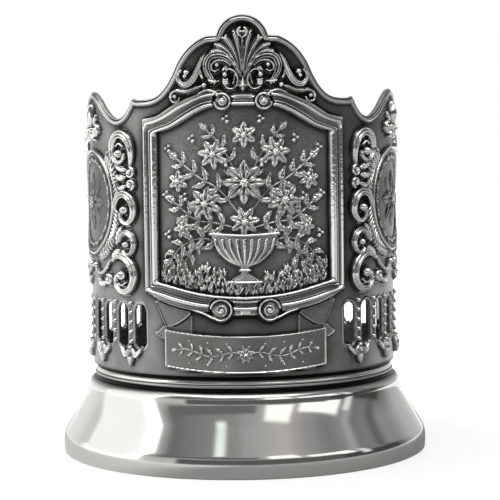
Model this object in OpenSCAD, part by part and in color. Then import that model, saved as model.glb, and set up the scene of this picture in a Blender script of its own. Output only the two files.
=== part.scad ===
// Podstakannik: a metal holder with a handle that carries a thin tea glass.
// Millimetres, +Z up, origin in the middle of the foot's underside, the crest faces -Y, the handle +Y.
// Places on the band are given as an angle from the crest, or as an arc length along its outer face,
// and as a rise above the glass seat.

/* [Glass and band] */
// Radius of the bore that the tea glass drops into
glass_bore_r = 34; // [33:0.25:35.5]
// Wall of the rolled band
band_wall = 1; // [0.8:0.1:1.4]
// Rise of the lowest places of the rim above the glass seat
rim_rise = 55.2; // [54:0.2:57]
// Height of the crest over the lowest places of the rim
crest_h = 21; // [19:0.2:23]
// How far the inner wall leans out at the crest, as a lead-in for the glass
lead_in = 0.3; // [0.1:0.05:0.5]

/* [Crest and rim] */
// Radius of the round lobe on top of the crest
lobe_r = 5.6; // [5:0.1:6]
// Width of the raised bead along the rim
rim_bead_w = 1.2; // [0.8:0.1:1.6]
// Height of the rim bead over the band
rim_bead_lift = 0.7; // [0.4:0.1:1]

/* [Foot] */
// Outer radius of the foot's rim
foot_r = 42.1; // [40:0.5:45]
// Height of the foot up to the bead ring
foot_h = 17.8; // [16:0.2:20]
// Wall of the spun foot
foot_wall = 0.9; // [0.7:0.1:1.2]
// Height of the upright band round the foot's rim
foot_rim_h = 3.9; // [3:0.1:5]
// Radius of the round shoulder at the top of the foot
shoulder_r = 2.1; // [1.5:0.1:2.4]
// Inner radius of the foot's top flange
flange_bore_r = 30.5; // [28:0.5:31.5]

/* [Bead ring and glass seat] */
// Height of the double bead ring
ring_h = 2.7; // [2.4:0.1:3.2]
// Radial width of the ring under the glass
ring_w = 1.85; // [1.6:0.05:2.2]
// How far the ring's neck stands in from the band's outer face
neck_inset = 0.57; // [0.4:0.01:0.8]
// Thickness of the glass seat
seat_wall = 1; // [0.8:0.1:1.4]

/* [Colonnade] */
// Width of a slot
slot_w = 3.1; // [2.7:0.1:3.2]
// Height of a slot
slot_h = 9.5; // [8:0.1:10]
// Rise of the slots' lower ends above the glass seat
slot_rise = 5.45; // [5:0.05:6]
// Number of slots under each medallion
slots = 8; // [4:2:8]
// Radius of one bead on the bars
bar_bead_r = 0.78; // [0.6:0.02:0.8]
// Number of beads on each bar
bar_beads = 6; // [4:1:6]

/* [Front panel] */
// Room between the frame's upper corners and the level of the rim's lowest places
frame_top_gap = 0.3; // [0.1:0.05:1]
// Room between the frame's lower corners and the upper corners of the ribbon
frame_low_gap = 7.9; // [7.5:0.1:9]
// Height of the frame over the band
frame_lift = 0.9; // [0.6:0.1:1.2]
// Height of the frame's beads and volutes over the band
moulding_lift = 1.5; // [1.3:0.1:1.8]
// Height of the ribbon between its long edges
ribbon_h = 8.1; // [7:0.1:8.5]
// Rise of the ribbon's lower edge above the seat, at its ends
ribbon_rise = 2; // [1.8:0.05:2.4]

/* [Relief] */
// Height of the scrolls and leaves over the band
scroll_lift = 1; // [0.7:0.1:1.3]
// Height of the plain fields over the band
field_lift = 0.25; // [0.15:0.05:0.4]
// Width of a scroll's stroke at its root
stroke_w = 1.05; // [0.9:0.05:1.15]

/* [Handle] */
// How far the bow reaches out from the band
handle_reach = 25; // [22:0.5:30]
// Height of the bow from its lower seat to its upper seat
handle_h = 37; // [34:0.5:40]
// Rise of the bow's lower seat above the glass seat
handle_rise = 11; // [10:0.5:12]
// Width of the bow's strip
bow_w = 8; // [7:0.5:9]
// Thickness of the bow's strip
bow_t = 2.6; // [2:0.1:3]
// Width of the thumb rest
thumb_w = 13; // [11:0.5:15]
// Thickness of the thumb rest
thumb_t = 1.4; // [1.2:0.1:2]
// Height of the seam strip over the band
strip_lift = 0.8; // [0.6:0.1:1]
// Height of the lugs over the seam strip
lug_lift = 0.8; // [0.6:0.1:1.2]

/* [Hidden] */
$fn = 96;

pewter = [0.42, 0.42, 0.41];
worn = [0.66, 0.66, 0.63];
nickel = [0.82, 0.81, 0.78];

band_r = glass_bore_r + band_wall;
seat_h = foot_h + ring_h;
crest_rise = rim_rise + crest_h;
overrun = band_wall;
full_turn = 360;

// Angles of the panels, and of what lies on them
side_deg = 72;
back_deg = 144;
handle_deg = 180;
frame_deg = 37.32;
ribbon_deg = 29.14;
first_slot_deg = 40.18;
slot_pitch_deg = 9.25;
back_slot_deg = 111.62;
medallion_deg = 19.4;
// Angle that the drawing square of the scrolls spans on the band
motif_deg = 32.74;
motif = arc_len(motif_deg);

// Arc length on the band's outer face for an angle, and the flat chord of an arc length
function arc_len(deg) = band_r * deg * PI / 180;
function arc_deg(s) = s / band_r * 180 / PI;
function chord(s) = band_r * sin(arc_deg(s));
function bent(points) = [for (p = points) [chord(p.x), p.y]];
function scaled(shares, w, h, at = [0, 0]) = [for (p = shares) [at.x + p.x * w, at.y + p.y * h]];
function backwards(list) = [for (i = [len(list) - 1:-1:0]) list[i]];
function mirrored(points) = [for (p = backwards(points)) [-p.x, p.y]];

// Smooth curve through points, with n steps from each point to the next
function blend(a, b, c, d, t) =
    0.5 * (2 * b + (c - a) * t + (2 * a - 5 * b + 4 * c - d) * t * t + (3 * b - a - 3 * c + d) * t * t * t);
function spline(p, n) = concat(
    [for (i = [0:len(p) - 2]) for (k = [0:n - 1])
        blend(p[max(i - 1, 0)], p[i], p[i + 1], p[min(i + 2, len(p) - 1)], k / n)],
    [p[len(p) - 1]]);

// Spiral that winds in about a centre, from radius r to a share of it
curl_end_share = 0.38;
function curl(centre, r, from, turn, n) =
    [for (k = [0:n]) centre + r * (1 - (1 - curl_end_share) * k / n)
        * [cos(from + turn * k / n), sin(from + turn * k / n)]];

// Unit normal, to the left of the way, at point i of a path
function normal_at(path, i) =
    let (d = path[min(i + 1, len(path) - 1)] - path[max(i - 1, 0)])
    [-d.y, d.x] / norm(d);

// Flat stroke along a path, whose width goes from w0 to w1
module stroke(path, w0, w1) {
    last = len(path) - 1;
    function half(i) = (w0 + (w1 - w0) * i / last) / 2;
    left = [for (i = [0:last]) path[i] + normal_at(path, i) * half(i)];
    right = [for (i = [0:last]) path[i] - normal_at(path, i) * half(i)];
    polygon(bent(concat(left, backwards(right))));
}

// Strokes that taper to their tip, and finer ones
taper_share = 0.65;
fine_share = 0.8;
module tapered(path) stroke(path, stroke_w, stroke_w * taper_share);
module fine(path) stroke(path, stroke_w * fine_share, stroke_w * taper_share);

// Spirals, balls and leaves from tables, in shares of a size, about a middle.
// A spiral is [x, y, radius, start angle, turn], a ball [x, y, radius], a leaf [x, y, angle, length, width].
// Places upwards are in shares of the size's height, which can be another one.
curl_steps = 12;
module curls(table, size, mid, high = undef) for (c = table)
    fine(curl(placed(c, size, mid, high), size * c[2], c[3], c[4], curl_steps));
module balls(table, size, mid, high = undef) for (b = table)
    spot(placed(b, size, mid, high), size * b[2]);
module leaves(table, size, mid, high = undef) for (f = table)
    leaf(placed(f, size, mid, high), f[2], size * f[3], size * f[4]);
function placed(row, size, mid, high) = mid + [size * row[0], (is_undef(high) ? size : high) * row[1]];

// Flat round spot at a place on the band
module spot(at, r) translate([chord(at.x), at.y]) circle(r = r, $fn = 24);

// Pointed leaf from a root, along an angle
leaf_steps = 5;
leaf_belly_power = 0.8;
module leaf(root, angle, length, width) {
    function side(k, sign) =
        let (along = k / leaf_steps, out = sign * sin(180 * pow(along, leaf_belly_power)) / 2)
        root + [cos(angle) * length * along - sin(angle) * width * out,
                sin(angle) * length * along + cos(angle) * width * out];
    polygon(bent(concat([for (k = [0:leaf_steps]) side(k, 1)],
                        [for (k = [leaf_steps - 1:-1:1]) side(k, -1)])));
}

// Round skin over the band, from a base height up to a lift over that
module skin(lift, base = 0) difference() {
    translate([0, 0, seat_h]) cylinder(r = band_r + base + lift, h = crest_rise + overrun);
    translate([0, 0, seat_h - overrun]) cylinder(r = band_r + base, h = crest_rise + 3 * overrun);
}

// Raises a flat outline off the band as a curved skin, at an angle round the band
module relief(at, lift, base = 0) {
    rotate([0, 0, at]) intersection() {
        skin(lift, base);
        translate([0, 0, seat_h]) rotate([90, 0, 0])
            linear_extrude(height = band_r + base + lift + overrun) children();
    }
}

// Rim line of the crest, as an angle and a share of the crest's height over the low rim.
// The shoulder runs from the lobe to the corner, and the dip from there to the horn.
notch_share = 0.795;
shoulder_shares = [[8.9, 0.795], [12.9, 0.787], [16.6, 0.733], [20, 0.65], [23, 0.535], [25, 0.42],
                   [27.6, 0.305], [30.8, 0.22], [34.4, 0.185], [38.6, 0.18]];
corner_shares = [[42.3, 0.2]];
dip_shares = [[44.4, 0.115], [47, 0.035], [50.75, 0], [55, 0.035], [60, 0.14], [66, 0.27], [70.6, 0.3]];
horn_shares = [[72, 0.305]];
bump_shares = [[93.25, 0], [98, 0.025], [103, 0.05], [108, 0.06], [113, 0.05], [118, 0.025]];
tail_shares = [[165.25, 0], [170, 0.035], [175, 0.05], [180, 0.055]];
low_deg = 50.75;
lobe_steps = 6;
function rim_point(p) = [p.x, rim_rise + p.y * crest_h];
function rim_points(list) = [for (p = list) rim_point(p)];
lobe_mid = crest_rise - lobe_r;
lobe_end = asin((rim_point([0, notch_share]).y - lobe_mid) / lobe_r);
lobe_line = [for (k = [0:lobe_steps])
    let (t = 90 - (90 - lobe_end) * k / lobe_steps)
    [arc_deg(lobe_r * cos(t)), lobe_mid + lobe_r * sin(t)]];
shoulder_start = [for (p = shoulder_shares) if (p.x > lobe_line[lobe_steps].x + 1) p];
quarter_line = concat(lobe_line,
    rim_points(spline(shoulder_start, 2)),
    rim_points(corner_shares),
    rim_points(spline(dip_shares, 2)),
    rim_points(horn_shares));
function dip_part() = [for (p = quarter_line) if (p.x >= low_deg) p];
half_line = concat(quarter_line,
    [for (p = backwards(dip_part())) if (p.x < side_deg) [2 * side_deg - p.x, p.y]],
    [for (p = rim_points(bump_shares)) if (p.x > 2 * side_deg - low_deg) p],
    [for (p = dip_part()) [side_deg + p.x, p.y]],
    [for (p = backwards(dip_part())) if (p.x < side_deg) [side_deg + 2 * side_deg - p.x, p.y]],
    [for (p = rim_points(tail_shares)) if (p.x > side_deg + 2 * side_deg - low_deg) p]);

// The rim stands up in pieces over a level ring, between the low places: middle, first and last angle
pieces = [[0, -low_deg, low_deg], [side_deg, low_deg, 2 * side_deg - low_deg],
          [back_deg - side_deg / 2, 2 * side_deg - low_deg, side_deg + low_deg],
          [back_deg, side_deg + low_deg, 3 * side_deg - low_deg]];
tail_piece = [handle_deg, 3 * side_deg - low_deg, 2 * handle_deg - 3 * side_deg + low_deg];
left_pieces = [for (s = pieces) if (s[0] > 0) [-s[0], -s[2], -s[1]]];
function flipped(points, about) = [for (p = backwards(points)) [2 * about - p.x, p.y]];
half_open = [for (p = half_line) if (p.x > 0 && p.x < handle_deg) p];
rim_line = concat(flipped(half_open, 0), half_line, flipped(half_open, handle_deg));
// A piece's line dips below the ring's top at both ends, and is drawn in the plane that faces its middle
end_deg = 0.3;
skip_deg = 1.2;
end_share = -0.03;
function piece_points(s) =
    let (low = rim_point([0, end_share]).y)
    concat([[s[1] + end_deg, low]],
           [for (p = rim_line) if (p.x > s[1] + skip_deg && p.x < s[2] - skip_deg) p],
           [[s[2] - end_deg, low]]);
function from_mid(points, mid) = [for (p = points) [band_r * sin(p.x - mid), p.y]];

// Point moved off the rim line by a distance, square to the line
function moved_in(points, d) =
    let (arcs = [for (p = points) [arc_len(p.x), p.y]])
    [for (i = [0:len(points) - 1])
        let (q = arcs[i] - normal_at(arcs, i) * d) [arc_deg(q.x), q.y]];

// The space under the rim line, moved in by an inset
root_share = 0.9;
piece_lap_deg = 3;
module under_rim(inset) {
    reach = band_r + 2 * overrun;
    translate([0, 0, seat_h - overrun]) cylinder(r = reach, h = rim_rise + overrun - inset);
    for (s = concat(pieces, left_pieces, [tail_piece])) {
        line = from_mid(moved_in(piece_points(s), inset), s[0]);
        start = glass_bore_r * cos(s[2] - s[0] + piece_lap_deg);
        root = rim_rise * root_share;
        rotate([0, 0, s[0]]) translate([0, -start, seat_h]) rotate([90, 0, 0])
            linear_extrude(height = reach - start)
                polygon(concat([[line[0].x, root]], line, [[line[len(line) - 1].x, root]]));
    }
}

// The bore is straight up to a share of the crest's height over the low rim, and leans out from there
lead_in_share = 0.15;
module sleeve_band() color(pewter) difference() {
    intersection() {
        translate([0, 0, seat_h]) rotate_extrude()
            polygon([[glass_bore_r, 0], [band_r, 0], [band_r, crest_rise + overrun],
                     [glass_bore_r + lead_in, crest_rise + overrun],
                     [glass_bore_r, rim_point([0, lead_in_share]).y]]);
        under_rim(0);
    }
    for (a = slot_angles(slots)) {
        slot_cutter(a);
        slot_cutter(-a);
    }
}

module rim_bead() color(worn) difference() {
    intersection() {
        skin(rim_bead_lift);
        under_rim(0);
    }
    under_rim(rim_bead_w);
}

// Slots stand in a row under each medallion; the last one of the back row falls under the seam strip
function slot_angles(n) = concat(
    [for (k = [0:n - 1]) first_slot_deg + slot_pitch_deg * k],
    [for (k = [0:n - 2]) back_slot_deg + slot_pitch_deg * k]);

slot_end_steps = 6;
module slot_cutter(at) {
    r = slot_w / 2;
    function end(mid, from) = [for (k = [0:slot_end_steps])
        let (t = from + 180 * k / slot_end_steps) [r * cos(t), mid + r * sin(t)]];
    rotate([0, 0, at]) translate([0, 0, seat_h + slot_rise]) rotate([90, 0, 0])
        linear_extrude(height = band_r + overrun)
            polygon(concat(end(slot_h - r, 0), end(r, 180)));
}

// Ring of two beads between the foot and the band, which also carries the band's lower edge
lower_bead_share = 0.24;
upper_bead_share = 0.7;
lower_bead_r_share = 0.2;
upper_bead_r_share = 0.29;
lower_bead_out_share = 0.35;
upper_bead_out_share = 0.75;
bead_half_deg = 80;
bead_steps = 6;
module seam_ring() {
    neck_r = band_r - neck_inset;
    function bead(mid, r, out) =
        [for (k = [0:bead_steps])
            let (t = bead_half_deg * (2 * k / bead_steps - 1))
            [neck_r + out - r + r * cos(t), mid + r * sin(t)]];
    lower_r = ring_h * lower_bead_r_share;
    upper_r = ring_h * upper_bead_r_share;
    color(worn) translate([0, 0, foot_h]) rotate_extrude()
        polygon(concat([[band_r - ring_w, 0], [neck_r - lower_r, 0]],
            bead(ring_h * lower_bead_share, lower_r, neck_inset * lower_bead_out_share),
            bead(ring_h * upper_bead_share, upper_r, neck_inset * upper_bead_out_share),
            [[neck_r - lower_r, ring_h], [band_r - ring_w, ring_h]]));
}

// Profile of the foot's outer face, from the rim up to the neck, moved in by d
flare_steps = 8;
shoulder_steps = 6;
flare_shares = [[0.32, 0.33], [0.87, 0.79]];
neck_drop_share = 0.5;
rim_chamfer_share = 0.33;
rim_straight_share = 0.7;
function bezier(a, b, c, d, t) =
    pow(1 - t, 3) * a + 3 * pow(1 - t, 2) * t * b + 3 * (1 - t) * t * t * c + pow(t, 3) * d;
module foot_shell() {
    neck_r = band_r - neck_inset;
    neck_z = foot_h - foot_wall * neck_drop_share;
    shoulder_mid = [neck_r, neck_z - shoulder_r];
    rim_top = [foot_r, foot_rim_h];
    flare_end = shoulder_mid + [shoulder_r, 0];
    function flare(d, low, high) =
        let (a = low - [d, 0], b = high - [d, 0], span = b - a)
        [for (k = [0:flare_steps])
            bezier(a, a + [span.x * flare_shares[0].x, span.y * flare_shares[0].y],
                   a + [span.x * flare_shares[1].x, span.y * flare_shares[1].y], b, k / flare_steps)];
    function shoulder(r) =
        [for (k = [1:shoulder_steps])
            let (t = 90 * k / shoulder_steps) shoulder_mid + r * [cos(t), sin(t)]];
    inner_r = foot_r - foot_wall;
    chamfer = foot_wall * rim_chamfer_share;
    color(nickel) rotate_extrude() polygon(concat(
        [[inner_r, 0], [foot_r - chamfer, 0], [foot_r, chamfer],
         [foot_r, foot_rim_h * rim_straight_share]],
        flare(0, rim_top, flare_end), shoulder(shoulder_r),
        [[neck_r, foot_h], [flange_bore_r, foot_h], [flange_bore_r, foot_h - foot_wall]],
        [[neck_r - foot_wall, foot_h - foot_wall]],
        backwards(shoulder(shoulder_r - foot_wall)),
        backwards(flare(foot_wall, rim_top, flare_end))));
}

// Inverted pan that the glass stands on; its skirt stands on the foot's flange inside the ring
module glass_floor() color(pewter) {
    r = band_r - ring_w;
    translate([0, 0, foot_h]) rotate_extrude()
        polygon([[0, ring_h - seat_wall], [r - seat_wall, ring_h - seat_wall], [r - seat_wall, 0],
                 [r, 0], [r, ring_h], [0, ring_h]]);
}

// Strip over the joint of the rolled band, behind the handle
strip_deg = 7.4;
strip_foot_share = 0.01;
strip_top_share = 0.985;
module seam_strip() color(worn) relief(handle_deg, strip_lift) {
    half = chord(arc_len(strip_deg));
    low = rim_rise * strip_foot_share;
    translate([-half, low]) square([2 * half, rim_rise * strip_top_share - low]);
}

// Leaf-shaped lugs on the seam strip, which the ends of the bow are soldered to
lug_w_share = 0.56;
lug_h_share = 0.17;
lug_pinch_share = 0.12;
lug_steps = 8;
module lug(rise) color(worn) relief(handle_deg, lug_lift, strip_lift)
    polygon([for (k = [0:2 * lug_steps - 1])
        let (t = 180 * k / lug_steps)
        [bow_w * lug_w_share * cos(t) * (1 - lug_pinch_share * pow(sin(t), 2)),
         rise + handle_h * lug_h_share * sin(t)]]);
module handle_upper_lug() lug(handle_rise + handle_h);
module handle_lower_lug() lug(handle_rise);

// Middle line of the bow: shares of its reach and of its height
bow_shares = [[-0.08, 0.985], [0.1, 1.02], [0.36, 1.13], [0.64, 1.11], [0.87, 0.94], [0.95, 0.7],
              [0.87, 0.44], [0.64, 0.22], [0.38, 0.09], [0.14, 0.01], [-0.08, 0.01]];
bow_steps = 3;
seat_r = band_r + strip_lift + lug_lift;
bow_line = spline(scaled(bow_shares, handle_reach, handle_h, [seat_r, seat_h + handle_rise]), bow_steps);
function beside(i, d) = bow_line[i] + normal_at(bow_line, i) * d;

module across(width)
    rotate([90, 0, 90]) translate([0, 0, -width / 2]) linear_extrude(height = width) children();

module handle_bow() color(nickel) difference() {
    across(bow_w) polygon(concat(
        [for (i = [0:len(bow_line) - 1]) beside(i, bow_t / 2)],
        [for (i = [len(bow_line) - 1:-1:0]) beside(i, -bow_t / 2)]));
    translate([0, 0, seat_h]) cylinder(r = seat_r, h = crest_rise);
}

// Plate on top of the bow: it follows the bow's back and curls up at its outer end
thumb_first = 3;
thumb_last = 9;
thumb_curl_share = 1.86;
thumb_curl_deg = 130;
thumb_curl_steps = 6;
module thumb_rest() {
    thumb_curl_r = thumb_t * thumb_curl_share;
    end = beside(thumb_last, bow_t / 2);
    way = normal_at(bow_line, thumb_last);
    mid = end + way * (thumb_curl_r + thumb_t);
    start_angle = atan2(-way.y, -way.x);
    function lip(r) = [for (k = [0:thumb_curl_steps])
        let (t = start_angle + thumb_curl_deg * k / thumb_curl_steps) mid + r * [cos(t), sin(t)]];
    color(worn) across(thumb_w) polygon(concat(
        [for (i = [thumb_first:thumb_last]) beside(i, bow_t / 2)],
        lip(thumb_curl_r + thumb_t),
        backwards(lip(thumb_curl_r)),
        [for (i = [thumb_last - 1:-1:thumb_first]) beside(i, bow_t / 2 + thumb_t)]));
}

// Front frame: outlines of its right half, as shares of the half width and the half height
outer_top_shares = [[1, 1], [0.9, 1.015], [0.75, 1.09], [0.55, 1.21], [0.35, 1.3], [0.24, 1.313],
                    [0.15, 1.265], [0.08, 1.195], [0, 1.195]];
outer_low_shares = [[0, -1.262], [0.1, -1.262], [0.2, -1.24], [0.33, -1.226], [0.53, -1.204],
                    [0.75, -1.139], [0.87, -1.075], [0.95, -1.02], [1, -1]];
field_top_shares = [[0.82, 0.8], [0.72, 0.851], [0.62, 0.9], [0.42, 1.033], [0.26, 1.1], [0, 1.11]];
field_low_shares = [[0, -1.035], [0.13, -1.027], [0.39, -0.995], [0.66, -0.925], [0.82, -0.86]];
bead_top_shares = [[0.9, 0.87], [0.79, 0.907], [0.68, 0.95], [0.48, 1.095], [0.3, 1.17], [0, 1.17]];
bead_low_shares = [[0, -1.1], [0.15, -1.1], [0.32, -1.085], [0.6, -1.03], [0.79, -0.965], [0.9, -0.91]];
fillet_share = 0.955;
frame_half_w = arc_len(frame_deg);
frame_low = ribbon_rise + ribbon_h + frame_low_gap;
frame_h = rim_rise - frame_top_gap - frame_low;
frame_rise = frame_low + frame_h / 2;
top_volute_shares = [0.188, 1.175];
low_volute_shares = [0.221, -1.205];
top_volute_r_share = 0.106;
low_volute_r_share = 0.138;

module outline(top, low, size = 1) {
    half = scaled(concat(spline(low, 2), spline(top, 2)), frame_half_w * size, frame_h / 2 * size,
                  [0, frame_rise]);
    ring = [for (p = half) if (p.x > 0) p];
    first = half[0];
    last = half[len(half) - 1];
    polygon(bent(concat([first], ring, [last], mirrored(ring))));
}
module field_outline() outline(field_top_shares, field_low_shares);

module volute(shares, r_share) {
    r = frame_h / 2 * r_share;
    for (side = [-1, 1]) spot([side * shares.x * frame_half_w, frame_rise + shares.y * frame_h / 2], r);
}

module front_frame() color(worn) {
    relief(0, frame_lift) difference() {
        union() {
            outline(outer_top_shares, outer_low_shares);
            volute(low_volute_shares, low_volute_r_share);
        }
        field_outline();
    }
    relief(0, moulding_lift) {
        difference() {
            outline(outer_top_shares, outer_low_shares);
            outline(outer_top_shares, outer_low_shares, fillet_share);
        }
        difference() {
            outline(bead_top_shares, bead_low_shares);
            field_outline();
        }
        difference() {
            union() {
                volute(top_volute_shares, top_volute_r_share);
                volute(low_volute_shares, low_volute_r_share);
            }
            field_outline();
        }
    }
}

// Field inside the frame, with a bunch of flowers in a footed bowl
flower_shares = [[0, 0.3, 0.15], [-0.36, 0.04, 0.12], [0.37, 0.08, 0.12], [-0.27, 0.62, 0.1],
                 [0.28, 0.64, 0.1], [0, -0.2, 0.11], [0, 0.86, 0.09]];
stem_shares = [[-0.1, -0.35, 118], [0.1, -0.35, 62], [-0.3, -0.3, 160], [0.3, -0.3, 20],
               [-0.2, 0.3, 150], [0.2, 0.32, 30], [-0.14, 0.6, 115], [0.14, 0.6, 65],
               [-0.42, 0.36, 120], [0.42, 0.38, 60], [-0.16, 0, 190], [0.16, 0, -10]];
leaf_length_share = 0.3;
leaf_width_share = 0.1;
bowl_shares = [[-0.2, -0.92], [0.2, -0.92], [0.16, -0.84], [0.05, -0.78], [0.05, -0.72], [0.22, -0.62],
               [0.34, -0.46], [0.36, -0.36], [-0.36, -0.36], [-0.34, -0.46], [-0.22, -0.62],
               [-0.05, -0.72], [-0.05, -0.78], [-0.16, -0.84]];
petals = 6;
flower_heart_share = 0.55;
petal_reach_share = 0.7;
petal_share = 0.4;
module picture_plaque() color(pewter) {
    w = frame_half_w;
    h = frame_h / 2;
    relief(0, field_lift) field_outline();
    relief(0, scroll_lift) {
        polygon(bent(scaled(bowl_shares, w, h, [0, frame_rise])));
        for (p = stem_shares)
            leaf([p[0] * w, frame_rise + p[1] * h], p[2], h * leaf_length_share, h * leaf_width_share);
        for (p = flower_shares) {
            mid = [p[0] * w, frame_rise + p[1] * h];
            r = h * p[2];
            spot(mid, r * flower_heart_share);
            for (k = [0:petals - 1])
                let (t = k * full_turn / petals)
                spot(mid + r * petal_reach_share * [cos(t), sin(t)], r * petal_share);
        }
    }
}

// Ornament of the crest, from a base above the frame's clasp: shares of the scroll square across,
// and upwards shares of a height that fits under the crest's top
crest_base_share = 1.295;
crest_fill_share = 1.2613;
frond_shares = [
    [[0.01, 0.18], [0.018, 0.385], [0.045, 0.56], [0.075, 0.635]],
    [[0.015, 0.18], [0.04, 0.385], [0.11, 0.525], [0.185, 0.578]],
    [[0.025, 0.18], [0.07, 0.365], [0.16, 0.47], [0.26, 0.5]]];
crest_leaf_shares = [[0, 0.2, 90, 0.48, 0.06]];
diamond_shares = [[0, 0.01], [0.06, 0.09], [0, 0.19], [-0.06, 0.09]];
big_scroll_shares = [[0.04, 0.165], [0.075, 0.28], [0.125, 0.36], [0.205, 0.41], [0.31, 0.41],
                     [0.385, 0.365], [0.405, 0.285], [0.37, 0.19], [0.29, 0.135]];
inner_scroll_shares = [[0.125, 0.36], [0.17, 0.345], [0.225, 0.345], [0.27, 0.315]];
tendril_shares = [[0.385, 0.36], [0.465, 0.31], [0.485, 0.225], [0.54, 0.155], [0.61, 0.15]];
low_tendril_shares = [[0.41, 0.1], [0.54, 0.065], [0.645, 0.035], [0.69, 0.03], [0.73, 0.02]];
crest_curl_shares = [[0.134, 0.155, 0.09, 190, -300], [0.62, 0.21, 0.06, -100, 320]];
crest_ball_shares = [[0.26, 0.29, 0.04], [0.4, 0.1, 0.032], [0.73, -0.01, 0.06], [0.075, 0.635, 0.026],
                     [0.185, 0.578, 0.026], [0.26, 0.5, 0.026]];
module crest_ornament() {
    base = [0, frame_rise + crest_base_share * frame_h / 2];
    high = (crest_rise - base.y) * crest_fill_share;
    color(worn) relief(0, scroll_lift) {
        polygon(bent(scaled(diamond_shares, motif, high, base)));
        leaves(crest_leaf_shares, motif, base, high);
        half_crest();
        mirror([1, 0]) half_crest();
    }
    module half_crest() {
        for (line = concat(frond_shares, [big_scroll_shares, inner_scroll_shares, tendril_shares,
                                          low_tendril_shares]))
            tapered(spline(scaled(line, motif, high, base), 2));
        curls(crest_curl_shares, motif, base, high);
        balls(crest_ball_shares, motif, base, high);
    }
}

// Ribbon under the frame: its long edges sag, its ends fold back behind the frame's lower corners
ribbon_half_w = arc_len(ribbon_deg);
ribbon_sag_share = 0.16;
ribbon_steps = 8;
ribbon_lift_share = 0.6;
ribbon_tail_shares = [[1.13, 1.72], [1.02, 1.2], [0.98, 1.03], [0.82, 1.13], [0.645, 1.39], [0.68, 1.5],
                      [0.82, 1.57], [0.95, 1.66], [1.06, 1.76]];
ribbon_fold_shares = [[0.98, 1.03], [0.82, 1.13], [0.645, 1.39], [0.64, 0.93], [0.98, 0.98]];
ribbon_end_shares = [[1.15, 0.89], [1.03, 1.1], [0.95, 1.09], [0.94, 0.93], [1.04, 0.78]];
tail_lift_share = 0.6;
function ribbon_edge(rise) = [for (k = [-ribbon_steps:ribbon_steps])
    let (x = k / ribbon_steps) [ribbon_half_w * x, rise - ribbon_h * ribbon_sag_share * (1 - x * x)]];
module ribbon_banner() {
    low = ribbon_rise;
    color(worn) relief(0, scroll_lift * ribbon_lift_share)
        polygon(bent(concat(ribbon_edge(low), backwards(ribbon_edge(low + ribbon_h)))));
    color(worn) relief(0, scroll_lift * ribbon_lift_share * tail_lift_share) {
        tails();
        mirror([1, 0]) tails();
    }
    module tails() for (t = [ribbon_tail_shares, ribbon_fold_shares, ribbon_end_shares])
        polygon(bent(scaled(t, ribbon_half_w, ribbon_h, [0, low])));
}

// Leafy twig along the ribbon
spray_leaves = 6;
spray_leaf_share = 0.42;
spray_leaf_w_share = 0.15;
spray_leaf_deg = 48;
spray_heart_share = 0.16;
spray_span_share = 0.9;
spray_lift_share = 0.5;
spray_stem_share = 0.55;
module ribbon_spray() {
    mid = ribbon_rise + ribbon_h / 2;
    pitch = ribbon_half_w * spray_span_share / spray_leaves;
    function sag(x) = mid - ribbon_h * ribbon_sag_share * (1 - pow(x / ribbon_half_w, 2));
    color(nickel) relief(0, scroll_lift * spray_lift_share, scroll_lift * ribbon_lift_share) {
        spot([0, sag(0)], ribbon_h * spray_heart_share);
        for (side = [-1, 1]) {
            stroke([for (k = [0:spray_leaves]) [side * k * pitch, sag(k * pitch)]],
                   stroke_w * spray_stem_share, stroke_w * spray_stem_share * taper_share);
            for (k = [1:spray_leaves - 1]) for (up = [-1, 1])
                leaf([side * k * pitch, sag(k * pitch)], 90 - side * 90 + side * up * spray_leaf_deg,
                     ribbon_h * spray_leaf_share, ribbon_h * spray_leaf_w_share);
        }
    }
}

// Round medallion: raised ring, field and a rosette of petals
medallion_rise_share = 0.67;
ring_w_share = 0.12;
rosette_petals = 8;
rosette_heart_share = 0.22;
rosette_petal_share = 0.78;
rosette_petal_w_share = 0.34;
medallion_r = arc_len(medallion_deg);
module medallion(at) color(worn) {
    mid = [0, rim_rise * medallion_rise_share];
    relief(at, moulding_lift) difference() {
        spot(mid, medallion_r);
        spot(mid, medallion_r * (1 - ring_w_share));
    }
    relief(at, field_lift) spot(mid, medallion_r * (1 - ring_w_share / 2));
    relief(at, scroll_lift) {
        spot(mid, medallion_r * rosette_heart_share);
        for (k = [0:rosette_petals - 1])
            leaf(mid, k * full_turn / rosette_petals,
                 medallion_r * rosette_petal_share, medallion_r * rosette_petal_w_share);
    }
}
module medallion_right() medallion(side_deg);
module medallion_left() medallion(-side_deg);
module medallion_back_right() medallion(back_deg);
module medallion_back_left() medallion(-back_deg);

// Scrollwork beside a medallion, drawn as shares of the scroll square from the medallion's middle
scroll_stem_shares = [[-0.9, 0.32], [-0.905, 0.2], [-0.88, 0.06], [-0.9, -0.05]];
upper_link_shares = [[-0.75, 0.385], [-0.85, 0.38], [-0.9, 0.3]];
lower_stem_shares = [[-0.83, -0.24], [-0.9, -0.36], [-0.895, -0.5], [-0.87, -0.62]];
scroll_curl_shares = [[-0.72, 0.56, 0.185, -110, -400], [-0.8, -0.11, 0.14, 150, -400],
                      [-0.69, -0.79, 0.2, 140, 420]];
scroll_ball_shares = [[-0.72, 0.56, 0.04], [-0.8, -0.11, 0.032], [-0.81, -0.45, 0.042], [-0.69, -0.79, 0.04]];
scroll_leaf_shares = [[-0.895, -0.5, 35, 0.16, 0.06], [-0.905, 0.2, 50, 0.18, 0.06],
                      [-0.88, 0.06, 60, 0.14, 0.05]];
module half_scrolls() {
    mid = [0, rim_rise * medallion_rise_share];
    for (line = [upper_link_shares, scroll_stem_shares, lower_stem_shares])
        stroke(spline(scaled(line, motif, motif, mid), 2), stroke_w, stroke_w);
    curls(scroll_curl_shares, motif, mid);
    balls(scroll_ball_shares, motif, mid);
    leaves(scroll_leaf_shares, motif, mid);
}
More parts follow.
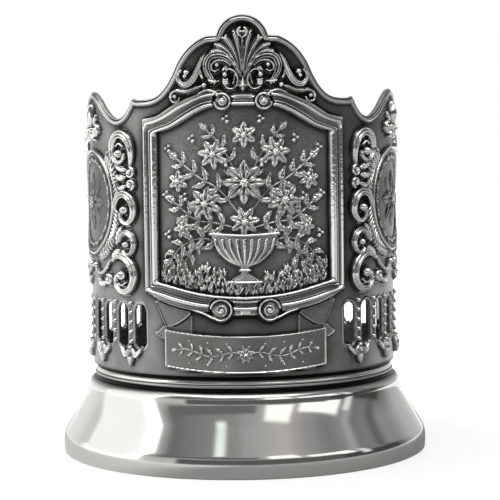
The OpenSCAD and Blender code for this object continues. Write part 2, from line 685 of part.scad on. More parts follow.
module scrolls(at, side) relief(at, scroll_lift) mirror([side > 0 ? 1 : 0, 0]) half_scrolls();
module side_scrolls_right() color(worn) {
    scrolls(side_deg, -1);
    scrolls(side_deg, 1);
}
module side_scrolls_left() color(worn) {
    scrolls(-side_deg, -1);
    scrolls(-side_deg, 1);
}
module back_scrolls_right() color(worn) scrolls(back_deg, -1);
module back_scrolls_left() color(worn) scrolls(-back_deg, 1);

// Small finial on each horn of the rim
horn_base_share = 0.93;
horn_leaf_shares = [[0, 0, 90, 0.3, 0.1]];
horn_curl_shares = [[0.1, 0.08, 0.085, -90, -300]];
horn_foot_shares = [[0, 0], [0.06, -0.004], [0.12, -0.01]];
module horn_finials() color(worn) for (at = [side_deg, -side_deg, back_deg, -back_deg])
    relief(at, scroll_lift) {
        base = [0, rim_rise * horn_base_share];
        leaves(horn_leaf_shares, motif, base);
        for (side = [0, 1]) mirror([side, 0]) {
            curls(horn_curl_shares, motif, base);
            fine(scaled(horn_foot_shares, motif, motif, base));
        }
    }

// Angles of the bars between the slots
function bar_angles(n) = concat(
    [for (k = [0:n - 2]) first_slot_deg + slot_pitch_deg * (k + 0.5)],
    [for (k = [0:n - 3]) back_slot_deg + slot_pitch_deg * (k + 0.5)]);

bead_pitch_share = 1.8;
bar_lift_share = 0.7;
module bead_row(at) relief(at, scroll_lift * bar_lift_share) {
    pitch = bar_bead_r * bead_pitch_share;
    low = slot_rise + (slot_h - pitch * (bar_beads - 1)) / 2;
    for (k = [0:bar_beads - 1]) spot([0, low + pitch * k], bar_bead_r);
}
module bar_beads_right() color(worn) for (a = bar_angles(slots)) bead_row(a);
module bar_beads_left() color(worn) for (a = bar_angles(slots)) bead_row(-a);

// Pendant with two wings under every second bar
pendant_shares = [[0, -0.66], [0.13, -0.42], [0.11, -0.2], [0.2, 0.02], [0, 0.1], [-0.2, 0.02], [-0.11, -0.2],
                  [-0.13, -0.42]];
wing_shares = [[0.2, -0.02], [0.45, -0.2], [0.7, -0.2], [0.88, -0.04], [0.7, -0.06], [0.45, -0.04],
               [0.2, 0.08]];
wing_span_share = 0.62;
module swag(at) relief(at, scroll_lift * bar_lift_share) {
    base = [0, slot_rise - bar_bead_r];
    polygon(bent(scaled(pendant_shares, slot_rise, slot_rise, base)));
    for (side = [-1, 1])
        polygon(bent(scaled(wing_shares, side * slot_rise * wing_span_share, slot_rise, base)));
}
function swag_angles() = [for (k = [0:2:2 * slots - 4]) bar_angles(slots)[k]];
module swags_right() color(worn) for (a = swag_angles()) swag(a);
module swags_left() color(worn) for (a = swag_angles()) swag(-a);

sleeve_band();
rim_bead();
seam_ring();
foot_shell();
glass_floor();
seam_strip();
handle_upper_lug();
handle_lower_lug();
handle_bow();
thumb_rest();
front_frame();
picture_plaque();
crest_ornament();
ribbon_banner();
ribbon_spray();
medallion_right();
medallion_left();
medallion_back_right();
medallion_back_left();
side_scrolls_right();
side_scrolls_left();
back_scrolls_right();
back_scrolls_left();
horn_finials();
bar_beads_right();
bar_beads_left();
swags_right();
swags_left();
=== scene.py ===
import math

import bpy
import numpy as np
from mathutils import Matrix, Vector


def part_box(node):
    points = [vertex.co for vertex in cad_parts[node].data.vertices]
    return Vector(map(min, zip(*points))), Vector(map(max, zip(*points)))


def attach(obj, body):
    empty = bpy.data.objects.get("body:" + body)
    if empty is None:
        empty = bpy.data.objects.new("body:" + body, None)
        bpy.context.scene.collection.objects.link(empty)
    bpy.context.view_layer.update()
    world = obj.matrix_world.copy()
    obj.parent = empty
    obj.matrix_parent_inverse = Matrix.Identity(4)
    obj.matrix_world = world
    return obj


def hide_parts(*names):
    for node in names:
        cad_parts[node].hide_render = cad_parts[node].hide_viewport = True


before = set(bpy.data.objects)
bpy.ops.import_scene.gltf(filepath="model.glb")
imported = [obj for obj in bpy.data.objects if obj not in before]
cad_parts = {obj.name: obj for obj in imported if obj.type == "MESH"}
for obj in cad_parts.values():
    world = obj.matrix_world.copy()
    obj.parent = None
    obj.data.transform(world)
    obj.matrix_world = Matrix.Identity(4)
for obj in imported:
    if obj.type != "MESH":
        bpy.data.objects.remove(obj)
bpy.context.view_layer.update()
MM = 0.001

# Sizes of the CAD part, in millimetres
BAND_R, BORE_R, SEAT = 35.0, 34.0, 20.5
CREST, LOW_RIM = 76.2, 55.2
DEG = BAND_R * math.pi / 180        # arc length of one degree on the band
BOW_X, BOW_Z, BOW_REACH, BOW_RISE, BOW_W = 36.6, 31.5, 25, 37, 8
GROUND = -0.45      # level of an empty place on a relief, just under the band's face


# Camera, fitted to the photograph
def make_camera():
    focal, photo, sensor = 1492.56, 500, 36       # focal length and photograph in pixels
    dist, height, side = 348.46, 64.546, 1.711
    pitch, roll, orbit = math.radians(3.123), math.radians(-0.723), math.radians(-1.0)
    fwd = Vector((0, math.cos(pitch), -math.sin(pitch)))
    up = Vector((0, math.sin(pitch), math.cos(pitch)))
    right = Vector((1, 0, 0))
    r2 = math.cos(roll) * right + math.sin(roll) * up
    u2 = -math.sin(roll) * right + math.cos(roll) * up
    turn = Matrix.Rotation(orbit, 3, "Z")
    place = turn @ Vector((side, -dist, height))
    r2, u2, fwd = turn @ r2, turn @ u2, turn @ fwd
    data = bpy.data.cameras.new("camera")
    data.sensor_width = sensor
    data.lens = focal * sensor / photo
    data.clip_start, data.clip_end = 0.01, 20
    cam = bpy.data.objects.new("camera", data)
    m = Matrix.Identity(4)
    for i in range(3):
        m[i][0], m[i][1], m[i][2], m[i][3] = r2[i], u2[i], -fwd[i], place[i] * MM
    cam.matrix_world = m
    bpy.context.scene.collection.objects.link(cam)
    bpy.context.scene.camera = cam


make_camera()


# Curves in the plane of the unrolled band: s is the arc length from the crest, z the height over the table
def smooth(points, step=0.18):
    """Curve through the points; what follows the first two numbers of a point runs along with them."""
    p = np.array(points, float)
    if len(p) < 3:
        n = max(2, int(np.linalg.norm(p[1, :2] - p[0, :2]) / step))
        t = np.linspace(0, 1, n + 1)[:, None]
        return p[0] * (1 - t) + p[1] * t
    p = np.vstack([2 * p[0] - p[1], p, 2 * p[-1] - p[-2]])
    out = []
    for i in range(1, len(p) - 2):
        n = max(2, int(np.linalg.norm(p[i + 1, :2] - p[i, :2]) / step))
        t = np.arange(n)[:, None] / n
        a, b, c, d = p[i - 1], p[i], p[i + 1], p[i + 2]
        out.append(0.5 * (2 * b + (c - a) * t + (2 * a - 5 * b + 4 * c - d) * t ** 2
                          + (3 * b - a - 3 * c + d) * t ** 3))
    out.append(p[-2][None])
    return np.vstack(out)


# Relief is a list of shapes; each raises the height over the band at the places it covers
def stroke(points, flutes=0, deep=0.3, edge=2.2):
    return ("stroke", smooth(points), flutes, deep, edge)


def ball(s, z, r, h):
    return ("ball", np.array([[s, z]]), r, h)


def leaf(points, width, height, flutes=0, deep=0.3, rib=0.25, belly=0.8):
    p = smooth(points)
    t = np.linspace(0, 1, len(p))
    w = width * np.clip(np.sin(math.pi * t ** belly), 0, 1) ** 0.75 + 0.06
    h = height * (0.55 + 0.45 * np.sin(math.pi * np.clip(t * 0.85 + 0.1, 0, 1)))
    return ("leaf", np.column_stack([p[:, :2], w, h]), flutes, deep, rib)


def plate(points, height, bevel, border=0.0, border_w=0.3):
    return ("plate", np.array(points, float), height, bevel, border, border_w)


def pyramid(s, z0, z1, w, h):
    mid = z0 + (z1 - z0) * 0.42
    return ("pyramid", np.array([[s, z0], [s + w, mid], [s, z1], [s - w, mid]]), h, mid)


def polar(s, z, r, a):
    return s + r * math.cos(a), z + r * math.sin(a)


def scroll(cs, cz, r0, r1, start, turn, w0, w1, h0, h1, n):
    t = np.linspace(0, 1, n)
    r = r0 + (r1 - r0) * t ** 0.85
    a = np.radians(start + turn * t)
    pts = np.column_stack([cs + r * np.cos(a), cz + r * np.sin(a), w0 + (w1 - w0) * t, h0 + (h1 - h0) * t])
    return stroke(pts)


def sink(s, z, r, level):
    return ("sink", np.array([[s, z]]), r, level)


def moved(shapes, flip=False, about=0.0, ds=0.0):
    out = []
    for kind, p, *spec in shapes:
        p = p.copy()
        if flip:
            p[:, 0] = 2 * about - p[:, 0]
        p[:, 0] += ds
        out.append((kind, p, *spec))
    return out


class Grid:
    """Heights over the band's face, on a regular grid of s and z."""

    def __init__(self, s0, s1, z0, z1, step):
        self.s = np.linspace(s0, s1, int(round((s1 - s0) / step)) + 1)
        self.z = np.linspace(z0, z1, int(round((z1 - z0) / step)) + 1)
        self.h = np.full((len(self.z), len(self.s)), GROUND)

    def window(self, lo, hi):
        a, b = np.searchsorted(self.s, [lo[0], hi[0]])
        c, d = np.searchsorted(self.z, [lo[1], hi[1]])
        return (slice(c, d), slice(a, b)) if a < b and c < d else None

    def points(self, win=(slice(None), slice(None))):
        S, Z = np.meshgrid(self.s[win[1]], self.z[win[0]])
        return S, Z, np.column_stack([S.ravel(), Z.ravel()])

    def lift(self, win, h):
        h = np.clip(h, GROUND, None).reshape(self.h[win].shape)
        self.h[win] = np.maximum(self.h[win], h)


def nearest(P, pts):
    """Distance of the points P (n, 2) from a polyline, and the share of its length at the nearest place."""
    A, B = pts[:-1, :2], pts[1:, :2]
    AB = B - A
    L = np.maximum((AB ** 2).sum(1), 1e-12)
    d2, u = np.empty(len(P)), np.empty(len(P))
    chunk = max(1, int(3e6 // len(A)))
    for i in range(0, len(P), chunk):
        rel = P[i:i + chunk][:, None, :] - A[None]
        t = np.clip((rel * AB[None]).sum(2) / L[None], 0, 1)
        dd = ((rel - t[..., None] * AB[None]) ** 2).sum(2)
        k = dd.argmin(1)
        r = np.arange(len(k))
        d2[i:i + chunk] = dd[r, k]
        u[i:i + chunk] = (k + t[r, k]) / len(A)
    return np.sqrt(d2), u


def inside(P, poly):
    x, y = P[:, 0], P[:, 1]
    res = np.zeros(len(P), bool)
    x1, y1 = poly[:, 0], poly[:, 1]
    x2, y2 = np.roll(x1, -1), np.roll(y1, -1)
    for i in range(len(poly)):
        if y1[i] == y2[i]:
            continue
        c = (y1[i] > y) != (y2[i] > y)
        res ^= c & (x < (x2[i] - x1[i]) * (y - y1[i]) / (y2[i] - y1[i]) + x1[i])
    return res


def closed(poly):
    return np.vstack([poly, poly[:1]])


def dome(x, power, full):
    """Rounded cross-section: 1 in the middle, 0 at x = 1 and falling steeply beyond."""
    return np.where(x < 1, np.clip(1 - x ** power, 0, 1) ** full, (1 - x) * 3)


def plate_height(P, p, height, bevel, border, border_w):
    d = nearest(P, closed(p))[0]
    d = np.where(inside(P, p), d, -d)
    x = np.clip(d / bevel, 0, 1)
    h = np.where(d >= 0, height * (1 - (1 - x) ** 2), d * 2 * height / bevel)
    if border:
        h = h + border * np.exp(-((d - border_w) / (0.45 * border_w)) ** 2) * (d > 0)
    return h


def pyramid_height(S, Z, p, height, mid):
    up = np.where(Z > mid, p[2, 1] - mid, mid - p[0, 1])
    x = np.abs(S - p[0, 0]) / (p[1, 0] - p[0, 0]) + np.abs(Z - mid) / up
    return height * (1 - x) + 0.35 * (x < 1)


def line_height(P, p, kind, flutes, deep, last):
    """Height of a stroke or a leaf; last is the edge's fullness of a stroke and the rib of a leaf."""
    d, u = nearest(P, p)
    idx, places = u * (len(p) - 1), np.arange(len(p))
    x = d / np.interp(idx, places, p[:, 2])
    full = np.interp(idx, places, p[:, 3])
    if kind == "stroke":
        h = 0.88 * full * dome(x, last, 0.6)
        if flutes:
            wave = 0.5 - 0.5 * np.cos(math.pi * flutes * x)
            h = h * np.where(x < 1, 1 - deep * wave * (1 - x ** 4), 1)
            h = np.where(x < 1, h + full * 0.14 * (1 - x ** 4), h)
    else:
        h = full * dome(x, 2, 0.75)
        h = np.where(x < 1, h * (1 - last * np.exp(-(x / 0.18) ** 2)), h)
        if flutes:
            wave = 0.5 - 0.5 * np.cos(2 * math.pi * flutes * (u + 0.22 * x))
            h = np.where(x < 1, h * (1 - deep * wave * np.clip(x * 2, 0, 1)), h)
    return h


def paint(g, shapes):
    for kind, p, *spec in shapes:
        reach = 0.4
        if kind in ("stroke", "leaf"):
            reach = p[:, 2].max() + 0.35
        elif kind in ("ball", "sink"):
            reach = spec[0] + 0.35
        win = g.window(p[:, :2].min(0) - reach, p[:, :2].max(0) + reach)
        if win is None:
            continue
        S, Z, P = g.points(win)
        if kind in ("ball", "sink"):
            x = np.hypot(S - p[0, 0], Z - p[0, 1]) / spec[0]
            if kind == "sink":
                g.h[win] = np.where(x < 1, np.minimum(g.h[win], spec[1]), g.h[win])
            else:
                g.lift(win, spec[1] * dome(x, 2, 0.6))
        elif kind == "plate":
            g.lift(win, plate_height(P, p, *spec))
        elif kind == "pyramid":
            g.lift(win, pyramid_height(S, Z, p, *spec))
        else:
            g.lift(win, line_height(P, p, kind, *spec))


# Ornament of the crest, right half
def crest_half():
    fronds = [
        [(0.25, 83.8, 0.25, 0.6), (0.4, 86.5, 0.36, 0.9), (0.7, 89.0, 0.44, 1.1), (1.1, 91.2, 0.5, 1.2),
         (1.55, 92.7, 0.5, 1.15)],
        [(0.5, 83.8, 0.25, 0.6), (0.95, 86.8, 0.42, 0.95), (1.75, 89.0, 0.55, 1.2), (2.7, 90.8, 0.62, 1.3),
         (3.45, 91.7, 0.58, 1.2)],
        [(0.75, 83.9, 0.25, 0.6), (1.5, 86.7, 0.45, 0.95), (2.7, 88.7, 0.58, 1.2), (4.1, 89.9, 0.64, 1.3),
         (5.1, 90.3, 0.58, 1.2)],
        [(1.0, 84.0, 0.25, 0.6), (2.0, 86.7, 0.42, 0.95), (3.4, 88.5, 0.52, 1.15), (4.9, 89.25, 0.52, 1.2),
         (5.8, 89.2, 0.42, 1.1)]]
    out = [stroke(f, flutes=2, deep=0.6) for f in fronds]
    out += [ball(s, z, 0.42, 1.3)
            for s, z in [(1.75, 93.1), (3.3, 92.2), (3.95, 91.75), (5.5, 90.45), (6.2, 89.1)]]
    out += [leaf([(0.0, 84.6), (0.1, 88.4), (0.0, 92.4)], 0.34, 0.9),
            stroke([(0.1, 91.9, 0.26, 0.9), (0.75, 92.5, 0.34, 1.2), (0.95, 93.4, 0.36, 1.3),
                    (0.45, 93.9, 0.34, 1.2)]), ball(0.3, 93.1, 0.42, 1.35),
            stroke([(0.35, 83.6, 0.3, 0.6), (1.1, 85.6, 0.5, 1.0), (2.3, 87.2, 0.7, 1.25),
                    (3.9, 88.2, 0.85, 1.4), (5.5, 88.35, 0.92, 1.45), (6.8, 87.8, 0.92, 1.45),
                    (7.5, 86.3, 0.88, 1.4), (7.2, 84.7, 0.78, 1.3), (6.5, 83.5, 0.66, 1.2)], flutes=3,
                   deep=0.75),
            leaf([(7.3, 83.2), (6.0, 82.75), (4.6, 82.9)], 0.85, 1.5, flutes=4, deep=0.3, rib=-0.1),
            stroke([(2.4, 86.1, 0.3, 1.0), (3.5, 86.95, 0.36, 1.2), (4.7, 87.15, 0.4, 1.3),
                    (5.7, 86.95, 0.42, 1.3), (6.35, 86.2, 0.4, 1.25), (6.3, 85.3, 0.36, 1.2),
                    (5.6, 84.9, 0.34, 1.15), (4.95, 85.25, 0.3, 1.1)], flutes=2, deep=0.4),
            ball(5.2, 86.2, 0.6, 1.55), ball(3.65, 84.2, 0.72, 1.5),
            leaf([(2.9, 85.7), (3.6, 85.5), (4.3, 84.9)], 0.4, 1.15)]
    for z in (83.2, 82.75, 82.3):
        out.append(stroke([(3.0, z, 0.2, 1.1), (3.6, z - 0.12, 0.26, 1.3), (4.1, z + 0.1, 0.2, 1.1)]))
    out += [stroke([(3.5, 84.8, 0.24, 1.0), (2.9, 85.25, 0.3, 1.2), (2.1, 85.1, 0.34, 1.25),
                    (1.3, 84.3, 0.36, 1.3), (1.0, 83.1, 0.36, 1.3), (1.3, 81.9, 0.36, 1.3),
                    (2.2, 81.2, 0.36, 1.25), (3.2, 81.4, 0.34, 1.15), (3.7, 82.0, 0.28, 1.0)], flutes=2,
                   deep=0.35),
            stroke([(1.6, 84.2, 0.16, 0.9), (1.75, 83.0, 0.18, 1.0), (2.05, 82.3, 0.16, 0.9)]),
            stroke([(7.8, 88.6, 0.16, 0.8), (8.35, 87.7, 0.36, 1.1), (8.9, 86.6, 0.52, 1.25),
                    (9.4, 85.2, 0.66, 1.3), (10.0, 83.8, 0.78, 1.35), (11.2, 82.5, 0.8, 1.35),
                    (12.6, 82.3, 0.66, 1.25), (13.6, 83.2, 0.5, 1.15), (13.8, 84.4, 0.4, 1.1),
                    (13.1, 85.3, 0.3, 1.0)], flutes=3, deep=0.6), ball(11.75, 84.85, 0.75, 1.6),
            ball(12.1, 84.0, 0.55, 1.45), ball(7.97, 82.05, 0.72, 1.5),
            leaf([(8.2, 83.3), (8.7, 84.4), (8.75, 85.6)], 0.35, 1.0),
            stroke([(8.5, 81.9, 0.36, 1.0), (9.7, 81.55, 0.44, 1.25), (11.3, 81.0, 0.46, 1.3),
                    (12.9, 80.95, 0.46, 1.3), (14.3, 81.0, 0.42, 1.2), (15.3, 80.4, 0.4, 1.15),
                    (15.45, 79.4, 0.36, 1.1), (14.8, 78.7, 0.34, 1.05), (13.8, 78.8, 0.3, 1.0),
                    (13.4, 79.5, 0.26, 1.0)], flutes=2, deep=0.45), ball(14.4, 79.85, 0.55, 1.4)]
    return out


# Front frame: outlines of the right half, from the middle of the top to the middle of the bottom
OUTER_TOP = [(0, 80.1), (2.6, 80.1), (4.5, 81.0), (6.2, 81.17), (8.05, 80.87), (10.23, 80.09), (12.44, 79.29),
             (14.75, 78.37), (17.13, 77.03), (18.78, 76.11), (20.49, 75.71), (22.75, 75.5)]
OUTER_LOW = [(22.75, 38.5), (21.69, 38.15), (19.8, 37.12), (17.09, 35.94), (14.5, 35.24), (12.01, 34.74),
             (9.59, 34.4), (7.3, 34.3), (4.6, 33.7), (2.2, 33.6), (0, 33.6)]
FIELD_TOP = [(0, 77.4), (2.9, 77.45), (5.84, 77.33), (7.41, 76.94), (9.56, 76.0), (11.78, 74.8),
             (14.05, 73.59), (16.41, 72.65), (18.7, 72.1)]
FIELD_LOW = [(18.7, 40.9), (15, 40.0), (12.0, 39.25), (8.8, 38.6), (5.5, 38.15), (3, 38.0), (0, 37.9)]
BEAD_TOP = [(0, 78.9), (3.0, 78.85), (5.82, 78.72), (6.66, 78.68), (8.81, 78.22), (11.0, 77.16),
            (13.1, 75.96), (15.58, 74.46), (18.01, 73.68), (20.72, 72.9)]
BEAD_LOW = [(20.72, 39.5), (17.89, 39.5), (13.59, 38.5), (10.32, 37.75), (7.18, 37.24), (4.86, 37.0),
            (0, 36.6)]


def ringed(top, low):
    right = np.vstack([smooth(top, 0.4), smooth(low, 0.4)])
    left = right[::-1].copy()
    left[:, 0] *= -1
    return np.vstack([right, left[1:-1]])


OUTER, FIELD, BEAD = ringed(OUTER_TOP, OUTER_LOW), ringed(FIELD_TOP, FIELD_LOW), ringed(BEAD_TOP, BEAD_LOW)
# Height of the moulding against the share of the way: outer edge to bead line, then bead line to field
OUTSIDE = [(0, 0.0), (0.03, 0.5), (0.08, 0.68), (0.14, 0.66), (0.19, 0.46), (0.22, 0.8), (0.25, 0.92),
           (0.28, 0.62), (0.31, 0.62), (0.34, 1.05), (0.38, 1.22), (0.46, 1.36), (0.54, 1.3), (0.6, 0.98),
           (0.66, 0.74), (0.76, 0.62), (0.86, 0.66), (0.94, 0.82), (1.0, 1.1)]
INSIDE = [(0, 1.1), (0.05, 1.16), (0.1, 1.0), (0.14, 0.6), (0.19, 0.58), (0.24, 0.95), (0.32, 1.36),
          (0.45, 1.6), (0.6, 1.62), (0.75, 1.4), (0.88, 0.9), (1.0, 0.25)]


def paint_frame(g):
    win = g.window((-23.6, 32.8), (23.6, 82.2))
    P = g.points(win)[2]
    half = np.column_stack([np.abs(P[:, 0]), P[:, 1]])
    d_out, d_bead, d_field = (nearest(half, closed(line))[0] for line in (OUTER, BEAD, FIELD))
    in_out, in_bead, in_field = (inside(P, line) for line in (OUTER, BEAD, FIELD))
    outer = np.interp(d_out / (d_out + d_bead + 1e-9), *zip(*OUTSIDE))
    inner = np.interp(d_bead / (d_bead + d_field + 1e-9), *zip(*INSIDE))
    inner = np.where(in_field, 0.3 - d_field * 3, inner)
    g.lift(win, np.where(in_out, np.where(in_bead, inner, outer), -d_out * 3))


def frame_shapes():
    one = []
    for cs, cz, r, a0 in ((4.28, 78.63, 2.0, 50), (5.04, 34.85, 2.55, -50)):
        way = 1 if a0 > 0 else -1
        one += [sink(cs, cz, r + 0.1, 0.15), ball(cs, cz, r - 0.15, 1.0),
                scroll(cs, cz, r - 0.38, r - 0.4, a0, 300 * way, 0.4, 0.36, 1.75, 1.5, n=20),
                scroll(cs, cz, r * 0.5, 0.34, a0 + 60 * way, 470 * way, 0.27, 0.27, 1.6, 1.9, n=30),
                ball(cs, cz, 0.46, 2.0)]
    one += [stroke([(9.2, 80.4, 0.2, 1.0), (7.4, 81.0, 0.34, 1.3), (5.8, 80.65, 0.42, 1.5),
                    (5.2, 80.1, 0.42, 1.5)]),
            stroke([(11.0, 34.75, 0.2, 1.0), (8.9, 34.2, 0.34, 1.3), (7.0, 33.3, 0.42, 1.45),
                    (6.1, 33.0, 0.42, 1.5)])]
    out = one + moved(one, flip=True)
    # clasps between the volutes
    out += [plate([(-2.05, 77.35), (2.05, 77.35), (1.95, 80.1), (-1.95, 80.1)], 0.85, 0.25),
            stroke([(-2.05, 78.2, 0.5, 1.6), (0, 78.15, 0.5, 1.6), (2.05, 78.2, 0.5, 1.6)]),
            stroke([(-1.9, 79.75, 0.3, 1.35), (0, 79.8, 0.3, 1.35), (1.9, 79.75, 0.3, 1.35)]),
            plate([(-2.2, 33.5), (2.2, 33.5), (2.2, 37.3), (-2.2, 37.3)], 0.75, 0.3),
            stroke([(-2.3, 36.6, 0.48, 1.5), (0, 36.5, 0.48, 1.5), (2.3, 36.6, 0.48, 1.5)]),
            stroke([(-2.2, 35.5, 0.2, 1.0), (0, 35.45, 0.2, 1.0), (2.2, 35.5, 0.2, 1.0)]),
            plate([(-1.2, 33.6), (1.2, 33.6), (1.2, 35.2), (-1.2, 35.2)], 1.15, 0.3)]
    return out


# Bunch of flowers in a footed bowl, on the field
def petals(s, z, r, n, turn, h):
    """Open flower: an outer ring of petals, a smaller one over it, and seeds."""
    out = []
    for layer in range(2):
        rr = r * (1 - 0.38 * layer)
        for k in range(n):
            a = math.radians(turn + 360 * (k + 0.5 * layer) / n)
            out.append(leaf([polar(s, z, f * rr, a) for f in (0.15, 0.6, 1)], rr * (2.0 / n),
                            h * (0.8 + 0.22 * layer), rib=0.35, belly=1.35))
    out.append(ball(s, z, r * 0.24, h * 1.25))
    out += [ball(*polar(s, z, r * 0.17, 2 * math.pi * k / 7), r * 0.07, h * 1.32) for k in range(7)]
    return out


def twig(pts, leaf_len, leaf_w, h, pairs, first=0.12, spread=46, w=0.16):
    out = [stroke([(*q, w, h * 0.8) for q in pts])]
    line = smooth(pts)
    for k in range(pairs):
        t = first + (1 - first) * (k + 0.5) / pairs
        i = min(int(t * (len(line) - 1)), len(line) - 2)
        along = math.atan2(*(line[i + 1] - line[i])[::-1])
        size = leaf_len * (1.0 - 0.45 * abs(t - 0.45))
        for sgn in (1, -1):
            mid = polar(*line[i], 0.5 * size, along + sgn * math.radians(spread * 1.25))
            tip = polar(*line[i], size, along + sgn * math.radians(spread))
            out.append(leaf([line[i], mid, tip], leaf_w * size / leaf_len, h, flutes=3, deep=0.25, rib=0.4))
    end = line[-1]
    tip = polar(*end, leaf_len * 0.8, math.atan2(*(end - line[-4])[::-1]))
    out.append(leaf([end, (end + tip) / 2, tip], leaf_w, h, flutes=3, deep=0.25, rib=0.4))
    return out


def plaque_shapes():
    both = twig([(1.0, 50.2), (4.6, 49.0), (9.0, 50.0), (13.2, 48.4), (15.6, 45.8)], 3.6, 1.0, 1.0, 6)
    both += twig([(1.4, 52.0), (6.0, 53.2), (10.4, 54.0), (14.8, 57.4)], 3.7, 1.0, 1.0, 5)
    both += twig([(1.0, 55.0), (5.0, 60.0), (9.5, 62.8), (14.2, 66.6)], 3.5, 0.95, 1.0, 5)
    both += twig([(0.8, 60.0), (2.8, 66.0), (5.4, 70.2), (7.6, 72.6)], 3.0, 0.8, 0.95, 4)
    both += twig([(9.0, 50.4), (11.8, 46.2), (15.4, 42.6)], 2.6, 0.7, 0.85, 4)
    out = both + moved(both, flip=True)
    for s, z, r, n, t in [(0, 61.6, 4.7, 8, 90), (-8.2, 57.2, 3.8, 7, 80), (8.5, 57.9, 3.8, 7, 100),
                          (-6.4, 67.6, 3.3, 7, 70), (6.7, 68.0, 3.3, 7, 110), (0.1, 53.4, 3.3, 7, 60),
                          (0.1, 71.6, 2.8, 6, 90), (-14.0, 62.0, 2.4, 6, 30), (14.1, 62.3, 2.4, 6, 80),
                          (-13.0, 52.2, 2.3, 6, 10), (13.1, 52.4, 2.3, 6, 50)]:
        out += petals(s, z, r, n, t, 1.3)
    for sgn in (1, -1):
        for s, z in [(3.7, 65.3), (10.6, 70.4), (12.4, 58.2), (16.0, 68.4), (16.6, 58.6), (3.3, 74.4),
                     (16.2, 50.2)]:
            out += [ball(sgn * s, z, 0.62, 1.15), ball(sgn * (s + 0.85), z + 0.6, 0.5, 1.0),
                    ball(sgn * (s + 0.1), z + 1.15, 0.5, 1.0)]
    # bowl with gadroons, on a foot
    bowl = [(-7.0, 51.0), (-6.6, 48.6), (-5.3, 46.2), (-3.2, 44.6), (-1.2, 43.9), (-1.0, 42.7), (-3.0, 41.5),
            (-3.6, 40.3), (3.6, 40.3), (3.0, 41.5), (1.0, 42.7), (1.2, 43.9), (3.2, 44.6), (5.3, 46.2),
            (6.6, 48.6), (7.0, 51.0)]
    out.append(plate(bowl, 0.9, 0.6))
    for k in range(-4, 5):
        x = k / 4.4
        out.append(stroke([(x * 6.7, 49.6, 0.62 - 0.2 * abs(x), 1.4),
                           (x * 5.9, 47.4, 0.6 - 0.2 * abs(x), 1.45), (x * 3.5, 45.2, 0.42, 1.35),
                           (x * 1.1, 44.1, 0.22, 1.1)]))
    out += [stroke([(-7.1, 50.9, 0.5, 1.4), (0, 50.5, 0.5, 1.6), (7.1, 50.9, 0.5, 1.4)]),
            stroke([(-1.0, 43.2, 0.4, 1.3), (1.0, 43.2, 0.4, 1.3)]),
            stroke([(-3.4, 40.7, 0.42, 1.2), (0, 40.6, 0.42, 1.3), (3.4, 40.7, 0.42, 1.2)])]
    return out


FIELD_H = 0.22


def ground_texture(S, Z):
    """Low tufts under the bowl, as a height over the field."""
    g = np.random.default_rng(11)
    h = np.zeros_like(S)
    for _ in range(760):
        s = g.uniform(-18, 18)
        low = np.interp(abs(s), [0, 5.5, 12, 18.7], [38.0, 38.3, 39.4, 41.0])
        z = low + g.uniform(0.05, 1.0) ** 1.2 * (5.0 + 1.3 * math.sin(s * 0.7))
        if abs(s) < 4 and z > 41:
            continue
        a = g.uniform(0.9, 2.2)
        r = g.uniform(0.45, 1.15)
        u = (S - s) * math.cos(a) + (Z - z) * math.sin(a)
        v = -(S - s) * math.sin(a) + (Z - z) * math.cos(a)
        h = np.maximum(h, g.uniform(0.35, 0.9) * (1 - (u / r) ** 2 - (v / (0.32 * r)) ** 2))
    return h


def paint_field(g):
    """Sheet behind the flowers, over the whole field and a little under the frame."""
    S, Z, P = g.points()
    d = nearest(np.column_stack([np.abs(P[:, 0]), P[:, 1]]), closed(FIELD))[0].reshape(S.shape)
    ins = inside(P, FIELD).reshape(S.shape)
    beyond = (d > 0.55) & ~ins
    h = np.where(ins, FIELD_H + ground_texture(S, Z), FIELD_H - d * 0.4)
    g.h = np.where(beyond, GROUND, np.maximum(g.h, h))


SIDE_S, BACK_S, TURN_S = 72 * DEG, 144 * DEG, 360 * DEG
MED_Z, MED_R = SEAT + LOW_RIM * 0.67, 19.4 * DEG


